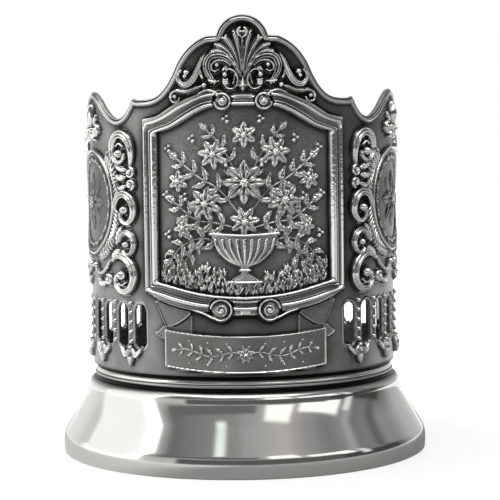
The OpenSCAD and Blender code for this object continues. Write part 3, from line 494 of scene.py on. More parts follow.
# Scrollwork beside a medallion, drawn for the front right; other places are mirror images
def scroll_column():
    out = [stroke([(26.9, 65.0, 0.3, 0.7), (26.3, 66.6, 0.6, 1.1), (26.3, 69.0, 0.9, 1.4),
                   (27.4, 71.3, 1.05, 1.5), (29.4, 72.3, 1.1, 1.55), (31.3, 71.8, 1.05, 1.5),
                   (32.6, 70.2, 0.95, 1.4), (32.7, 68.3, 0.8, 1.3), (31.6, 66.7, 0.62, 1.25),
                   (30.1, 66.2, 0.5, 1.2), (28.9, 66.8, 0.42, 1.15), (28.5, 67.9, 0.34, 1.1)], flutes=3,
                  deep=0.75), ball(29.9, 68.1, 1.0, 1.9),
           stroke([(28.7, 69.6, 0.24, 1.1), (29.8, 70.3, 0.3, 1.25), (31.0, 69.7, 0.24, 1.1)]),
           scroll(26.6, 63.9, 1.2, 0.5, 100, 380, 0.4, 0.26, 1.0, 1.2, n=18), ball(26.6, 63.9, 0.5, 1.4),
           scroll(26.5, 61.4, 1.15, 0.5, 250, -380, 0.4, 0.26, 1.0, 1.2, n=18), ball(26.5, 61.4, 0.5, 1.4),
           stroke([(32.9, 65.8, 0.4, 1.0), (32.2, 63.4, 0.6, 1.2), (31.0, 61.2, 0.6, 1.2),
                   (30.6, 59.6, 0.4, 1.0)], flutes=2, deep=0.5),
           stroke([(31.9, 54.0, 0.3, 0.8), (32.2, 56.2, 0.6, 1.2), (31.0, 58.4, 0.85, 1.4),
                   (28.9, 59.3, 0.95, 1.5), (26.9, 58.6, 0.98, 1.5), (25.8, 56.7, 0.92, 1.4),
                   (25.9, 54.6, 0.8, 1.3), (27.2, 53.2, 0.6, 1.2), (28.8, 53.1, 0.46, 1.15),
                   (29.9, 54.0, 0.38, 1.1), (29.9, 55.2, 0.32, 1.1)], flutes=3, deep=0.75),
           ball(28.5, 55.9, 1.0, 1.8),
           stroke([(30.7, 48.9, 0.3, 0.8), (29.9, 50.3, 0.55, 1.1), (28.3, 51.0, 0.72, 1.3),
                   (26.7, 50.3, 0.76, 1.3), (25.9, 48.6, 0.72, 1.25), (26.5, 46.8, 0.58, 1.15),
                   (28.1, 46.2, 0.44, 1.1), (29.2, 47.0, 0.36, 1.05)], flutes=2, deep=0.7),
           ball(28.1, 48.4, 0.8, 1.6),
           stroke([(33.4, 44.6, 0.3, 0.8), (32.0, 45.6, 0.6, 1.1), (29.9, 45.9, 0.85, 1.3),
                   (27.7, 45.0, 1.0, 1.45), (26.2, 43.1, 1.05, 1.5), (25.9, 40.8, 1.0, 1.5),
                   (27.0, 38.9, 0.9, 1.4), (28.9, 38.1, 0.74, 1.3), (30.8, 38.5, 0.6, 1.2),
                   (32.0, 39.8, 0.48, 1.15), (31.9, 41.4, 0.36, 1.1)], flutes=3, deep=0.75),
           ball(29.7, 41.7, 1.15, 1.9),
           stroke([(28.3, 40.2, 0.22, 1.1), (29.5, 39.5, 0.3, 1.25), (30.8, 39.9, 0.24, 1.1)]),
           scroll(34.9, 40.4, 1.25, 0.5, 60, 400, 0.42, 0.28, 1.0, 1.2, n=20), ball(34.9, 40.4, 0.5, 1.4),
           leaf([(36.2, 39.9), (38.4, 39.4), (40.6, 40.8)], 0.8, 1.1, flutes=3),
           stroke([(34.0, 44.8, 0.3, 0.9), (36.4, 42.6, 0.42, 1.1), (39.0, 41.8, 0.46, 1.1),
                   (41.4, 42.6, 0.38, 1.0)], flutes=2), ball(41.9, 43.4, 0.75, 1.4)]

    def rim(a, d):
        return (SIDE_S - (MED_R + d) * math.cos(math.radians(a)),
                MED_Z + (MED_R + d) * math.sin(math.radians(a)))

    # serrated leaves fill the way between the scrolls and the medallion
    for k in range(26):
        a = -62 + 4.3 * k
        if -6 < a < 6:
            continue
        reach = 1.9 + 0.9 * math.sin(math.radians(a * 2.6)) ** 2
        p0, p1 = rim(a, 0.35), rim(a + 5 * (1 if a > 0 else -1), reach)
        out.append(stroke([(*p0, 0.26, 0.9), ((p0[0] + p1[0]) / 2 - 0.1, (p0[1] + p1[1]) / 2, 0.3, 1.1),
                           (*p1, 0.16, 0.8)]))
    for pts, w in [([(27.8, 64.5), (29.8, 64.9), (31.9, 65.9)], 0.8),
                   ([(28.0, 63.0), (30.0, 62.8), (31.6, 63.6)], 0.8),
                   ([(27.8, 61.2), (29.4, 60.6), (30.8, 60.9)], 0.7),
                   ([(29.4, 52.4), (30.8, 50.4), (31.6, 48.2)], 0.8),
                   ([(31.0, 52.8), (32.0, 51.4), (32.8, 49.8)], 0.6),
                   ([(30.2, 47.2), (31.8, 46.4), (33.4, 45.2)], 0.9)]:
        out.append(leaf(pts, w, 1.2, flutes=4, deep=0.4))
    return out


def medallion(s):
    def circle(d, **ends):
        return [polar(s, MED_Z, MED_R - d, a) for a in np.linspace(0, 2 * math.pi, 72, **ends)]

    def around(d, w, h):
        return stroke([(*q, w, h) for q in circle(d)], edge=2.6)

    out = [plate(circle(0.4, endpoint=False), 0.25, 0.3), around(0.34, 0.34, 1.1), around(1.05, 0.2, 0.75)]
    mid, tip = MED_R - 2.75, 0.2
    for k in range(20):
        a = 2 * math.pi * k / 20
        out.append(leaf([polar(s, MED_Z, mid, a - tip), polar(s, MED_Z, mid + 0.5, a),
                         polar(s, MED_Z, mid + 0.1, a + tip)], 0.6, 0.8, flutes=3))
    return out + petals(s, MED_Z, MED_R * 0.55, 8, 0, 0.8)


def horn_finial(s):
    out = [leaf([(s, 74.4), (s, 76.4), (s, 79.4)], 1.35, 1.4, rib=-0.3), ball(s, 73.6, 0.8, 1.3)]
    one = [scroll(3.5, 73.3, 1.45, 0.45, 110, -460, 0.42, 0.32, 1.15, 1.35, n=24), ball(3.5, 73.3, 0.55, 1.6),
           leaf([(1.6, 74.9), (2.7, 75.8), (3.0, 77.0)], 0.45, 1.0),
           stroke([(0.3, 72.6, 0.3, 1.0), (1.2, 71.6, 0.36, 1.1), (2.6, 71.3, 0.3, 1.0)])]
    return out + moved(one, ds=s) + moved(moved(one, flip=True), ds=s)


# Colonnade: slots, beads on the bars between them, pendants under every second bar; angles in degrees
SLOT_W, SLOT_H, SLOT_Z = 3.1, 9.5, SEAT + 5.45
PITCH, ROWS = 9.25, ((40.18, 8), (111.62, 7))
SLOTS = [a + PITCH * k for a, n in ROWS for k in range(n)]
BARS = [a + PITCH * (k + 0.5) for a, n in ROWS for k in range(n - 1)]


def bar_beads():
    return [ball(a * DEG, SLOT_Z + 1.35 + 2.1 * k, r, h)
            for a in BARS for k in range(5) for r, h in ((0.52, 0.75), (0.7, 0.2))]


def swags():
    out, z = [], SLOT_Z
    for a in BARS[0::2]:
        s = a * DEG
        out.append(leaf([(s, z - 0.35), (s, z - 2.1), (s, z - 4.1)], 0.95, 1.1, rib=-0.25, belly=0.85))
        out.append(ball(s, z + 0.15, 0.5, 1.1))
        for e in (-1, 1):
            for k in range(3):
                out.append(stroke([(s + e * (0.42 + 0.1 * k), z - 0.25 - 0.62 * k, 0.24, 0.8),
                                   (s + e * 1.7, z - 1.0 - 0.46 * k, 0.27, 1.0),
                                   (s + e * (3.2 - 0.1 * k), z + 0.05 - 0.42 * k, 0.2, 0.8)]))
    return out


# Ribbon
RIB_W, RIB_H, RIB_Z = 29.14 * DEG, 8.1, SEAT + 2


def sag(x):
    return -RIB_H * 0.16 * (1 - (x / RIB_W) ** 2)


def ribbon_shapes():
    xs = np.linspace(-RIB_W, RIB_W, 41)
    body = np.vstack([np.column_stack([xs, RIB_Z + sag(xs)]),
                      np.column_stack([xs[::-1], RIB_Z + RIB_H + sag(xs[::-1])])])
    tail = [(20.4, 36.5), (19.3, 34.6), (18.3, 32.4), (17.5, 30.9), (16.0, 31.1), (14.5, 31.7), (12.9, 32.7),
            (11.5, 33.9), (11.9, 34.6), (13.6, 34.95), (15.8, 35.5), (18.0, 36.2), (19.2, 36.7)]
    fold = [(11.35, 33.9), (11.35, 29.4), (17.5, 29.6), (17.45, 30.9), (14.6, 31.4), (12.9, 32.5)]
    end = [(20.5, 29.7), (19.2, 30.4), (18.1, 31.4), (17.2, 31.0), (17.0, 28.2), (18.6, 28.4), (19.6, 29.0)]
    one = [plate(tail, 0.3, 0.2, 0.24, 0.22), plate(fold, 0.16, 0.2, 0.16, 0.2),
           plate(end, 0.32, 0.2, 0.24, 0.22)]
    for k in range(16):
        s0 = 12.4 + 0.22 * k
        one.append(stroke([(s0, 33.4 - 0.12 * k, 0.07, 0.36), (s0 + 0.75, 34.5 - 0.06 * k, 0.05, 0.34)]))
    return [plate(body, 0.5, 0.22, 0.3, 0.26)] + one + moved(one, flip=True)


def spray_shapes():
    out = []
    mid = RIB_Z + RIB_H / 2
    for sgn in (1, -1):
        pts = [(sgn * x, mid + sag(x) + 0.55 * math.sin(x * 0.62)) for x in (0.9, 3, 5, 7, 9, 11, 13, 14.6)]
        out += twig(pts, 2.3, 0.5, 1.15, 6, first=0.06, spread=50, w=0.17)
        for x in (4.0, 8.0, 12.0):
            for e in (-1, 1):
                out.append(ball(sgn * x, mid + sag(x) + e * 2.35, 0.32, 1.1))
    return out + petals(0, mid + sag(0), 2.2, 8, 22, 1.15)


# Relief pieces by the CAD node they stand for: shapes, areas (s from and to, z from and to), grid step
def paired(name, shapes, area, step):
    NODES[name + "_right"] = (shapes, [area], step)
    NODES[name + "_left"] = (moved(shapes, flip=True), [(-area[1], -area[0], *area[2:])], step)


COLUMN, CREST_HALF = scroll_column(), crest_half()
NODES = {
    "front_frame": (frame_shapes(), [(-23.8, 23.8, 31.5, 82.3)], 0.125),
    "picture_plaque": (plaque_shapes(), [(-19.6, 19.6, 37.0, 78.2)], 0.125),
    "crest_ornament": (CREST_HALF + moved(CREST_HALF, flip=True) + [pyramid(0, 80.4, 84.1, 1.35, 1.1)],
                       [(-17.5, 17.5, 77.5, 95.2)], 0.11),
    "ribbon_banner": (ribbon_shapes(), [(-21.6, 21.6, 20.6, 37.6)], 0.125),
    "ribbon_spray": (spray_shapes(), [(-17.6, 17.6, 21.5, 30.8)], 0.115),
}
for place, at, step in (("", SIDE_S, 0.16), ("back_", BACK_S, 0.18)):
    for hand, s in (("right", at), ("left", -at)):
        NODES[f"medallion_{place}{hand}"] = (medallion(s), [(s - 12.6, s + 12.6, 44.8, 70.3)], step)
paired("side_scrolls", COLUMN + moved(COLUMN, flip=True, about=SIDE_S), (23.2, 64.8, 36.8, 77.5), 0.14)
paired("back_scrolls", moved(COLUMN, ds=BACK_S - SIDE_S), (67.0, 87.6, 36.8, 77.5), 0.18)
HORNS = (SIDE_S, -SIDE_S, BACK_S, -BACK_S)
NODES["horn_finials"] = (sum([horn_finial(s) for s in HORNS], []),
                         [(s - 7.6, s + 7.6, 69.0, 82.0) for s in HORNS], 0.15)
paired("bar_beads", bar_beads(), (22, 104, 24.5, 37.5), 0.13)
paired("swags", swags(), (22, 104, 20.8, 27.0), 0.14)


# Rim line: degrees from the crest, and the share of the way up from the lowest rim to the crest
SHOULDER = [(8.9, 0.795), (10.8, 0.795), (12.9, 0.787), (16.6, 0.733), (20, 0.65), (23, 0.535), (25, 0.42),
            (27.6, 0.305), (30.8, 0.22), (34.4, 0.185), (38.6, 0.18), (41.0, 0.186), (42.3, 0.2)]
DIP = [(43.3, 0.165), (44.4, 0.115), (47, 0.035), (50.75, 0), (55, 0.035), (60, 0.125), (63.5, 0.205),
       (66, 0.25), (69, 0.292), (72, 0.31)]
BACK_RISE = [(93.25, 0), (98, 0.025), (103, 0.05), (108, 0.06), (113, 0.05), (118, 0.025), (122.75, 0)]
SEAM_RISE = [(165.25, 0), (170, 0.035), (175, 0.05), (180, 0.055)]
DIP_LOW, LOBE_R = 50.75, 5.6


def rim_share(p):
    return LOW_RIM + p * (CREST - LOW_RIM)


def rim_curve(points, step):
    q = smooth([(a * DEG, rim_share(p)) for a, p in points], step)
    return q[:, 0] / DEG, q[:, 1]


def rim_table():
    """Rim height over the table against the arc length from the crest, for one half."""
    end = math.asin((rim_share(0.795) - (CREST - LOBE_R)) / LOBE_R)
    lobe = [polar(0, CREST - LOBE_R, LOBE_R, t) for t in np.linspace(math.pi / 2, end, 24)]
    a, z = [q[0] / DEG for q in lobe], [q[1] for q in lobe]
    for part in (SHOULDER, DIP):
        qa, qz = rim_curve(part, 0.3)
        keep = qa > a[-1] + 0.05
        a += list(qa[keep])
        z += list(qz[keep])
    a, z = np.array(a), np.array(z)
    # the way out of the dip comes back mirrored, and both again at the back
    da, dz = a[a >= DIP_LOW], z[a >= DIP_LOW]
    ba, bz = rim_curve(BACK_RISE, 0.4)
    ta, tz = rim_curve(SEAM_RISE, 0.4)
    a = np.concatenate([a, 144 - da[::-1][1:], ba[1:-1], 72 + da, 72 + 144 - da[::-1][1:], ta[1:]])
    z = np.concatenate([z, dz[::-1][1:], bz[1:-1], dz, dz[::-1][1:], tz[1:]])
    return a * DEG, z + SEAT


RIM_S, RIM_Z = rim_table()


def rim_height(s):
    s = np.abs((np.asarray(s) + TURN_S / 2) % TURN_S - TURN_S / 2)
    return np.interp(s, RIM_S, RIM_Z)


def slot_distance(S, Z):
    """Distance outside the nearest slot's edge; negative inside a slot."""
    best = np.full(np.shape(S), 99.0)
    r = SLOT_W / 2
    dz = Z - np.clip(Z, SLOT_Z + r, SLOT_Z + SLOT_H - r)
    for a in SLOTS:
        for c in (a * DEG, -a * DEG):
            ds = (S - c + TURN_S / 2) % TURN_S - TURN_S / 2
            best = np.minimum(best, np.hypot(ds, dz) - r)
    return best


# One map of the whole relief gives patina with painted shade in the hollows and round the reliefs, and rubbed
# edges with painted highlight
STEP, MAP_LOW, MAP_TOP = 0.15, 18.0, 98.0


def relief_map():
    g = Grid(-TURN_S / 2, TURN_S / 2 - STEP, MAP_LOW, MAP_TOP, STEP)
    paint_frame(g)
    for shapes, _, _ in NODES.values():
        paint(g, shapes)
    front = g.window((-20, 37), (20, 78.5))
    S, Z, P = g.points(front)
    field = inside(P, FIELD).reshape(S.shape)
    g.h[front] = np.maximum(g.h[front], np.where(field, FIELD_H + ground_texture(S, Z), GROUND))
    # the rim pipe, the open air over it and the slots
    S, Z, _ = g.points()
    below, half = rim_height(S) - Z, 0.75
    pipe = np.where(below > 0, 0.8 * np.clip(1 - (np.abs(below - half) / half) ** 2, 0, 1), 0)
    h = np.where(below < 0, 0.4, np.maximum(np.clip(g.h, 0, None), pipe))
    return np.where(slot_distance(S, Z) < 0, 0.15, h)


def blur(a, sigma_mm):
    pad = 60
    b = np.vstack([a[:1].repeat(pad, 0), a, a[-1:].repeat(pad, 0)])
    fz, fs = np.fft.fftfreq(b.shape[0], STEP), np.fft.fftfreq(b.shape[1], STEP)
    k = np.exp(-2 * (math.pi * sigma_mm) ** 2 * (fs[None, :] ** 2 + fz[:, None] ** 2))
    return np.real(np.fft.ifft2(np.fft.fft2(b) * k))[pad:-pad]


HMAP = relief_map()
fine, near, wide, broad = (blur(HMAP, w) for w in (0.07, 0.35, 1.3, 4.0))
# high places: rubbed bright, with painted highlight on the raised relief; hollows: patina with painted shade,
# whose broad part also darkens the band round the reliefs
WEAR_AND_HIGHLIGHT = np.clip(0.7 * (fine - wide) + 1.8 * (fine - near) + 0.35 * np.clip(fine - 0.5, 0, 1), 0, 1)
PATINA_AND_SHADE = np.clip(3.4 * (near - fine) + 1.3 * (wide - fine) + 0.85 * (broad - fine) - 0.06, 0, 1)


def sample(img, s, z):
    """Values of a map at arc lengths s and heights z, between its grid points."""
    s = (np.asarray(s) + TURN_S / 2) % TURN_S / TURN_S * img.shape[1]
    z = (np.clip(z, MAP_LOW, MAP_TOP - 0.1) - MAP_LOW) / STEP
    i0, j0 = np.floor(z).astype(int), np.floor(s).astype(int)
    fz, fs = z - i0, s - j0
    i1, j0, j1 = np.minimum(i0 + 1, img.shape[0] - 1), j0 % img.shape[1], (j0 + 1) % img.shape[1]
    return (img[i0, j0] * (1 - fz) * (1 - fs) + img[i0, j1] * (1 - fz) * fs
            + img[i1, j0] * fz * (1 - fs) + img[i1, j1] * fz * fs)


# Meshes
def make(name, verts, faces, material, replaces, wear_and_highlight, patina_and_shade):
    """Smooth mesh from millimetres; the last two arguments are per-point values: wear with painted highlight,
    and patina with painted shade.
    """
    mesh = bpy.data.meshes.new(name)
    verts = np.asarray(verts, np.float32) * MM
    mesh.vertices.add(len(verts))
    mesh.vertices.foreach_set("co", verts.ravel())
    if isinstance(faces, list):
        lens = np.array([len(f) for f in faces], np.int32)
        flat = np.concatenate([np.asarray(f, np.int32) for f in faces])
    else:
        lens = np.full(len(faces), faces.shape[1], np.int32)
        flat = np.asarray(faces, np.int32).ravel()
    mesh.loops.add(len(flat))
    mesh.loops.foreach_set("vertex_index", flat)
    mesh.polygons.add(len(lens))
    mesh.polygons.foreach_set("loop_start", np.concatenate([[0], np.cumsum(lens)[:-1]]).astype(np.int32))
    mesh.polygons.foreach_set("loop_total", lens)
    mesh.update(calc_edges=True)
    mesh.validate()
    mesh.polygons.foreach_set("use_smooth", np.full(len(mesh.polygons), True))
    for key, values in (("wear_and_highlight", wear_and_highlight), ("patina_and_shade", patina_and_shade)):
        layer = mesh.attributes.new(key, "FLOAT", "POINT")
        layer.data.foreach_set("value", np.asarray(values, np.float32))
    obj = bpy.data.objects.new(name, mesh)
    bpy.context.scene.collection.objects.link(obj)
    obj.data.materials.append(material)
    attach(obj, "root")
    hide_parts(*replaces)


def on_band(s, z, r):
    a = np.asarray(s) / BAND_R
    return np.column_stack([np.ravel(r * np.sin(a)), np.ravel(-r * np.cos(a)), np.ravel(z + 0 * a)])


def grid_quads(nz, ns):
    i = np.arange(nz * ns).reshape(nz, ns)
    return np.stack([i[:-1, :-1], i[:-1, 1:], i[1:, 1:], i[1:, :-1]], -1)


def slab_faces(nz, ns):
    """Faces of a closed slab: a grid of points, a second one behind it, and the edge between them."""
    q, nv = grid_quads(nz, ns).reshape(-1, 4), nz * ns
    i = np.arange(nv).reshape(nz, ns)
    edge = np.concatenate([i[0, :], i[1:, -1], i[-1, :-1][::-1], i[1:-1, 0][::-1]])
    after = np.roll(edge, -1)
    side = np.column_stack([edge, edge + nv, after + nv, after])
    return np.vstack([q, q[:, ::-1] + nv, side])


def ring_quads(n, m, around=False):
    """Faces between n closed rings of m points; around also joins the last ring to the first."""
    i = np.arange(n * m).reshape(n, m)
    j = np.roll(i, -1, 0)
    q = np.stack([i, j, np.roll(j, -1, 1), np.roll(i, -1, 1)], -1)
    return (q if around else q[:-1]).reshape(-1, 4)


TURNED = [0, 3, 2, 1]      # the same face, seen from its other side


def compact(verts, faces, wear_and_highlight, patina_and_shade):
    """Leaves out the points that no face uses."""
    used = np.unique(faces)
    remap = np.full(len(verts), -1, np.int64)
    remap[used] = np.arange(len(used))
    return verts[used], remap[faces], wear_and_highlight[used], patina_and_shade[used]


def relief_piece(name, material):
    shapes, areas, step = NODES[name]
    parts, count = [], 0
    for area in areas:
        g = Grid(*area, step)
        if name == "front_frame":
            paint_frame(g)
        paint(g, shapes)
        if name == "picture_plaque":
            paint_field(g)
        h = g.h
        top = np.maximum.reduce([h[:-1, :-1], h[:-1, 1:], h[1:, 1:], h[1:, :-1]])
        s, z = g.points()[2].T
        verts, faces, wear_and_highlight, patina_and_shade = compact(
            on_band(s, z, BAND_R + np.clip(h, -0.4, None).ravel()), grid_quads(*h.shape)[top > -0.04],
            sample(WEAR_AND_HIGHLIGHT, s, z), sample(PATINA_AND_SHADE, s, z))
        parts.append((verts, faces + count, wear_and_highlight, patina_and_shade))
        count += len(verts)
    verts, faces, wear_and_highlight, patina_and_shade = (np.concatenate(p) for p in zip(*parts))
    make(name + "_relief", verts, faces, material, [name], wear_and_highlight, patina_and_shade)


# Materials
def put(nt, n, sockets):
    """Fills inputs of a node: an output of another node is linked, a value is written."""
    for key, v in sockets.items():
        if isinstance(v, bpy.types.NodeSocket):
            nt.links.new(v, n.inputs[key])
        else:
            n.inputs[key].default_value = v


def node(nt, kind, sockets, **props):
    n = nt.nodes.new(kind)
    for key, v in props.items():
        setattr(n, key, v)
    put(nt, n, sockets)
    return n


def principled(name):
    mat = bpy.data.materials.new(name)
    mat.use_nodes = True
    nt = mat.node_tree
    b = nt.nodes["Principled BSDF"]
    put(nt, b, {"Metallic": 1.0})
    return mat, nt, b


def ramp(nt, source, stops, interp="LINEAR"):
    n = node(nt, "ShaderNodeValToRGB", {"Fac": source})
    n.color_ramp.interpolation = interp
    els = n.color_ramp.elements
    while len(els) > 1:
        els.remove(els[-1])
    for i, (pos, col) in enumerate(stops):
        e = els[0] if i == 0 else els.new(pos)
        e.position = pos
        e.color = (*col, 1)
    return n.outputs["Color"]


def math_node(nt, op, a, b=None, clamp=False):
    sockets = {0: a} if b is None else {0: a, 1: b}
    return node(nt, "ShaderNodeMath", sockets, operation=op, use_clamp=clamp).outputs[0]


def plus(nt, a, b, clamp=False):
    return math_node(nt, "ADD", a, b, clamp)


def times(nt, a, b):
    return math_node(nt, "MULTIPLY", a, b)


def centred(nt, value, gain):
    """A noise's swing round its middle."""
    return times(nt, math_node(nt, "SUBTRACT", value, 0.5), gain)


def noise(nt, scale, detail, rough, stretch=(1, 1, 1), seed=0.0):
    place = node(nt, "ShaderNodeMapping", {
        "Vector": node(nt, "ShaderNodeTexCoord", {}).outputs["Object"],
        "Location": (seed, seed * 0.7, seed * 1.3), "Scale": stretch})
    return node(nt, "ShaderNodeTexNoise", {"Vector": place.outputs[0], "Scale": scale, "Detail": detail,
                                           "Roughness": rough}).outputs["Fac"]


def mix_color(nt, fac, a, b):
    a, b = ((*v, 1) if isinstance(v, tuple) else v for v in (a, b))
    return node(nt, "ShaderNodeMix", {0: fac, 6: a, 7: b}, data_type="RGBA").outputs[2]


def smooth_step(nt, value, lo, hi):
    return node(nt, "ShaderNodeMapRange", {"Value": value, "From Min": lo, "From Max": hi},
                interpolation_type="SMOOTHSTEP").outputs["Result"]


def bump(nt, height, strength, distance):
    return node(nt, "ShaderNodeBump", {"Height": height, "Strength": strength,
                                       "Distance": distance}).outputs[0]


def attribute(nt, name):
    return node(nt, "ShaderNodeAttribute", {}, attribute_name=name).outputs["Fac"]


def tinted(color, shares):
    return tuple(v * k for v, k in zip(color, shares))


DARK = (0.014, 0.0138, 0.0135)


def antiqued_with_painted_light(name, base, bright, rough, cast, dark=DARK, patina_shade_gain=1.0, low=(0.74, 0.73, 0.71),
             high=(1.2, 1.2, 1.2)):
    """Silver with dark patina and painted shade in its hollows, and rubbed bright with painted highlight on
    its high edges; cast is the strength of its small lumps.
    """
    mat, nt, b = principled(name)
    blot, grain = noise(nt, 160, 4, 0.6), noise(nt, 1900, 3, 0.6, seed=2.0)
    # high edges rubbed bright with painted highlight; hollows dark with patina and painted shade, plus random
    # blots
    rubbed_and_highlit = plus(nt, smooth_step(nt, attribute(nt, "wear_and_highlight"), 0.04, 0.72), centred(nt, grain, 0.1), clamp=True)
    patina_shade_blots = plus(nt, times(nt, attribute(nt, "patina_and_shade"), patina_shade_gain), centred(nt, blot, 0.3), clamp=True)
    patina = ramp(nt, noise(nt, 55, 4, 0.6, seed=8.0),
                  [(0.36, tinted(base, low)), (0.64, tinted(base, high))])
    rr = math_node(nt, "SUBTRACT", plus(nt, rough, times(nt, patina_shade_blots, 0.28)), times(nt, rubbed_and_highlit, 0.14))
    lumps = plus(nt, noise(nt, 1000, 2, 0.5, seed=11.0), times(nt, grain, 0.2))
    put(nt, b, {"Base Color": mix_color(nt, patina_shade_blots, mix_color(nt, rubbed_and_highlit, patina, bright), dark),
                "Roughness": plus(nt, rr, centred(nt, grain, 0.12), clamp=True),
                "Normal": bump(nt, lumps, cast, 0.00015)})
    return mat


def polished(name, color, rough, scratch):
    """Bright metal with fine level scratches; the per-point painted shade value makes it dull and dark."""
    mat, nt, b = principled(name)
    scratches = noise(nt, 900, 3, 0.6, (1, 1, 14), seed=6.0)
    tint = ramp(nt, noise(nt, 60, 3, 0.5, seed=4.0), [(0.3, tuple(0.93 * c for c in color)), (0.7, color)])
    patina_and_shade = attribute(nt, "patina_and_shade")
    rr = plus(nt, plus(nt, rough, times(nt, scratches, scratch)), times(nt, patina_and_shade, 0.3))
    put(nt, b, {"Base Color": mix_color(nt, patina_and_shade, tint, (0.012, 0.012, 0.013)), "Roughness": rr,
                "Normal": bump(nt, scratches, 0.05, 0.00004)})
    return mat


BAND_MAT = antiqued_with_painted_light("band_antiqued_and_painted_light", (0.27, 0.272, 0.264), (0.7, 0.7, 0.68), 0.21, 0.16,
                    dark=(0.013, 0.0128, 0.0125), low=(0.66, 0.64, 0.6), high=(1.3, 1.31, 1.32))
RELIEF_MAT = antiqued_with_painted_light("worn_relief", (0.37, 0.372, 0.362), (0.97, 0.965, 0.94), 0.19, 0.15)
MEDAL_MAT = antiqued_with_painted_light("medallion_relief", (0.13, 0.133, 0.131), (0.85, 0.845, 0.82), 0.25, 0.4)
RIBBON_MAT = antiqued_with_painted_light("ribbon_relief", (0.23, 0.231, 0.222), (0.95, 0.945, 0.92), 0.21, 0.35)
PLAQUE_MAT = antiqued_with_painted_light("plaque_relief", (0.4, 0.401, 0.39), (0.96, 0.95, 0.92), 0.2, 0.3,
                      dark=(0.016, 0.0158, 0.0155), patina_shade_gain=0.8)
RIM_MAT = antiqued_with_painted_light("rim_pipe", (0.32, 0.324, 0.316), (0.8, 0.8, 0.78), 0.2, 0.2)
HANDLE_MAT = antiqued_with_painted_light("handle_finish", (0.33, 0.328, 0.318), (0.8, 0.79, 0.76), 0.26, 0.12,
                      dark=(0.03, 0.029, 0.027))
FOOT_MAT = polished("polished_foot_finish", (0.85, 0.84, 0.81), 0.07, 0.05)
RING_MAT = polished("ring_finish", (0.82, 0.81, 0.78), 0.12, 0.1)
SATIN_MAT = polished("satin_finish", (0.6, 0.59, 0.57), 0.28, 0.14)


def lead_in(z):
    """How far the bore opens towards the crest, in millimetres."""
    return np.clip((z - SEAT - LOW_RIM - 3) / (CREST - LOW_RIM - 3), 0, 1) * 0.3


# Band: outer and inner sheet, joined at the rim, the lower edge and the slots
def build_band():
    front = 66      # half-width of the finely divided front
    cols = np.concatenate([np.arange(-front, front, 0.27), np.arange(front, TURN_S - front, 0.5)])
    top = rim_height(cols) - 0.45
    fixed = np.concatenate([np.arange(SEAT, 24.6, 0.55), np.arange(24.8, 36.6, 0.27),
                            np.arange(37.0, 75.0, 0.6)])
    share = np.linspace(0, 1, 34)[1:]
    Z = np.vstack([np.repeat(fixed[:, None], len(cols), 1),
                   fixed[-1] + share[:, None] * (top - fixed[-1])[None, :]])
    S = np.repeat(cols[None, :], len(Z), 0)
    d = slot_distance(S, Z)
    # points near a slot's outline move onto it
    e = 0.01
    gs = (slot_distance(S + e, Z) - slot_distance(S - e, Z)) / (2 * e)
    gz = (slot_distance(S, Z + e) - slot_distance(S, Z - e)) / (2 * e)
    beside = np.abs(d) < 0.17
    S = np.where(beside, S - d * gs, S)
    Z = np.where(beside, Z - d * gz, Z)
    s, z = S.ravel(), Z.ravel()
    d = slot_distance(S, Z)
    faces = ring_quads(*d.shape)[:, TURNED]
    faces = faces[d.ravel()[faces].mean(-1) > -1e-3]
    lip = np.clip(1 - np.clip(d, 0, None) / 0.45, 0, 1)
    bead = np.exp(-((d - 0.42) / 0.2) ** 2)
    outer = on_band(s, z, (BAND_R - 0.16 * lip ** 2 + 0.2 * bead).ravel())
    # the relief shows faintly on the inside
    push = 0.35 * sample(blur(np.clip(HMAP, 0, 1.2), 0.9), s, z)
    in_r = (BORE_R + lead_in(Z) + 0.1 * lip ** 2).ravel() + np.clip(push - 0.12, 0, 0.3)
    # behind a slot the sheet draws back, so that the opening shows clear
    back_off = 0.5 * np.clip(1 - d / 1.2, 0, 1)
    inner = on_band((S + back_off * gs).ravel(), (Z + back_off * gz).ravel(), in_r)
    # the raised bead round each slot gets a painted highlight, on top of its wear value
    wear_and_highlight, patina_and_shade = sample(WEAR_AND_HIGHLIGHT, s, z) + 0.7 * bead.ravel(), sample(PATINA_AND_SHADE, s, z)
    nv = len(outer)
    edges = np.concatenate([faces[:, [0, 1]], faces[:, [1, 2]], faces[:, [2, 3]], faces[:, [3, 0]]])
    _, first, cnt = np.unique(np.sort(edges, 1), axis=0, return_index=True, return_counts=True)
    rim = edges[first[cnt == 1]]
    bridge = np.column_stack([rim[:, 1], rim[:, 0], rim[:, 0] + nv, rim[:, 1] + nv])
    verts, faces, wear_and_highlight, patina_and_shade = compact(
        np.vstack([outer, inner]), np.vstack([faces, faces[:, ::-1] + nv, bridge]),
        np.concatenate([wear_and_highlight, wear_and_highlight * 0.3]), np.concatenate([patina_and_shade, np.full(nv, 0.25)]))
    make("sleeve_band_shell", verts, faces, BAND_MAT, ["sleeve_band"], wear_and_highlight, patina_and_shade)


build_band()


# Rim pipe along the top of the band
def rim_path():
    pts = np.column_stack([np.concatenate([-RIM_S[::-1][:-1], RIM_S]),
                           np.concatenate([RIM_Z[::-1][:-1], RIM_Z])])
    keep = np.concatenate([[True], np.linalg.norm(np.diff(pts, axis=0), axis=1) > 0.02])
    pts = pts[keep][:-1]
    full = np.vstack([pts, pts[:1] + [TURN_S, 0]])
    u = np.concatenate([[0], np.cumsum(np.linalg.norm(np.diff(full, axis=0), axis=1))])
    t = np.linspace(0, u[-1], int(u[-1] / 0.3), endpoint=False)
    return np.column_stack([np.interp(t, u, full[:, 0]), np.interp(t, u, full[:, 1])])


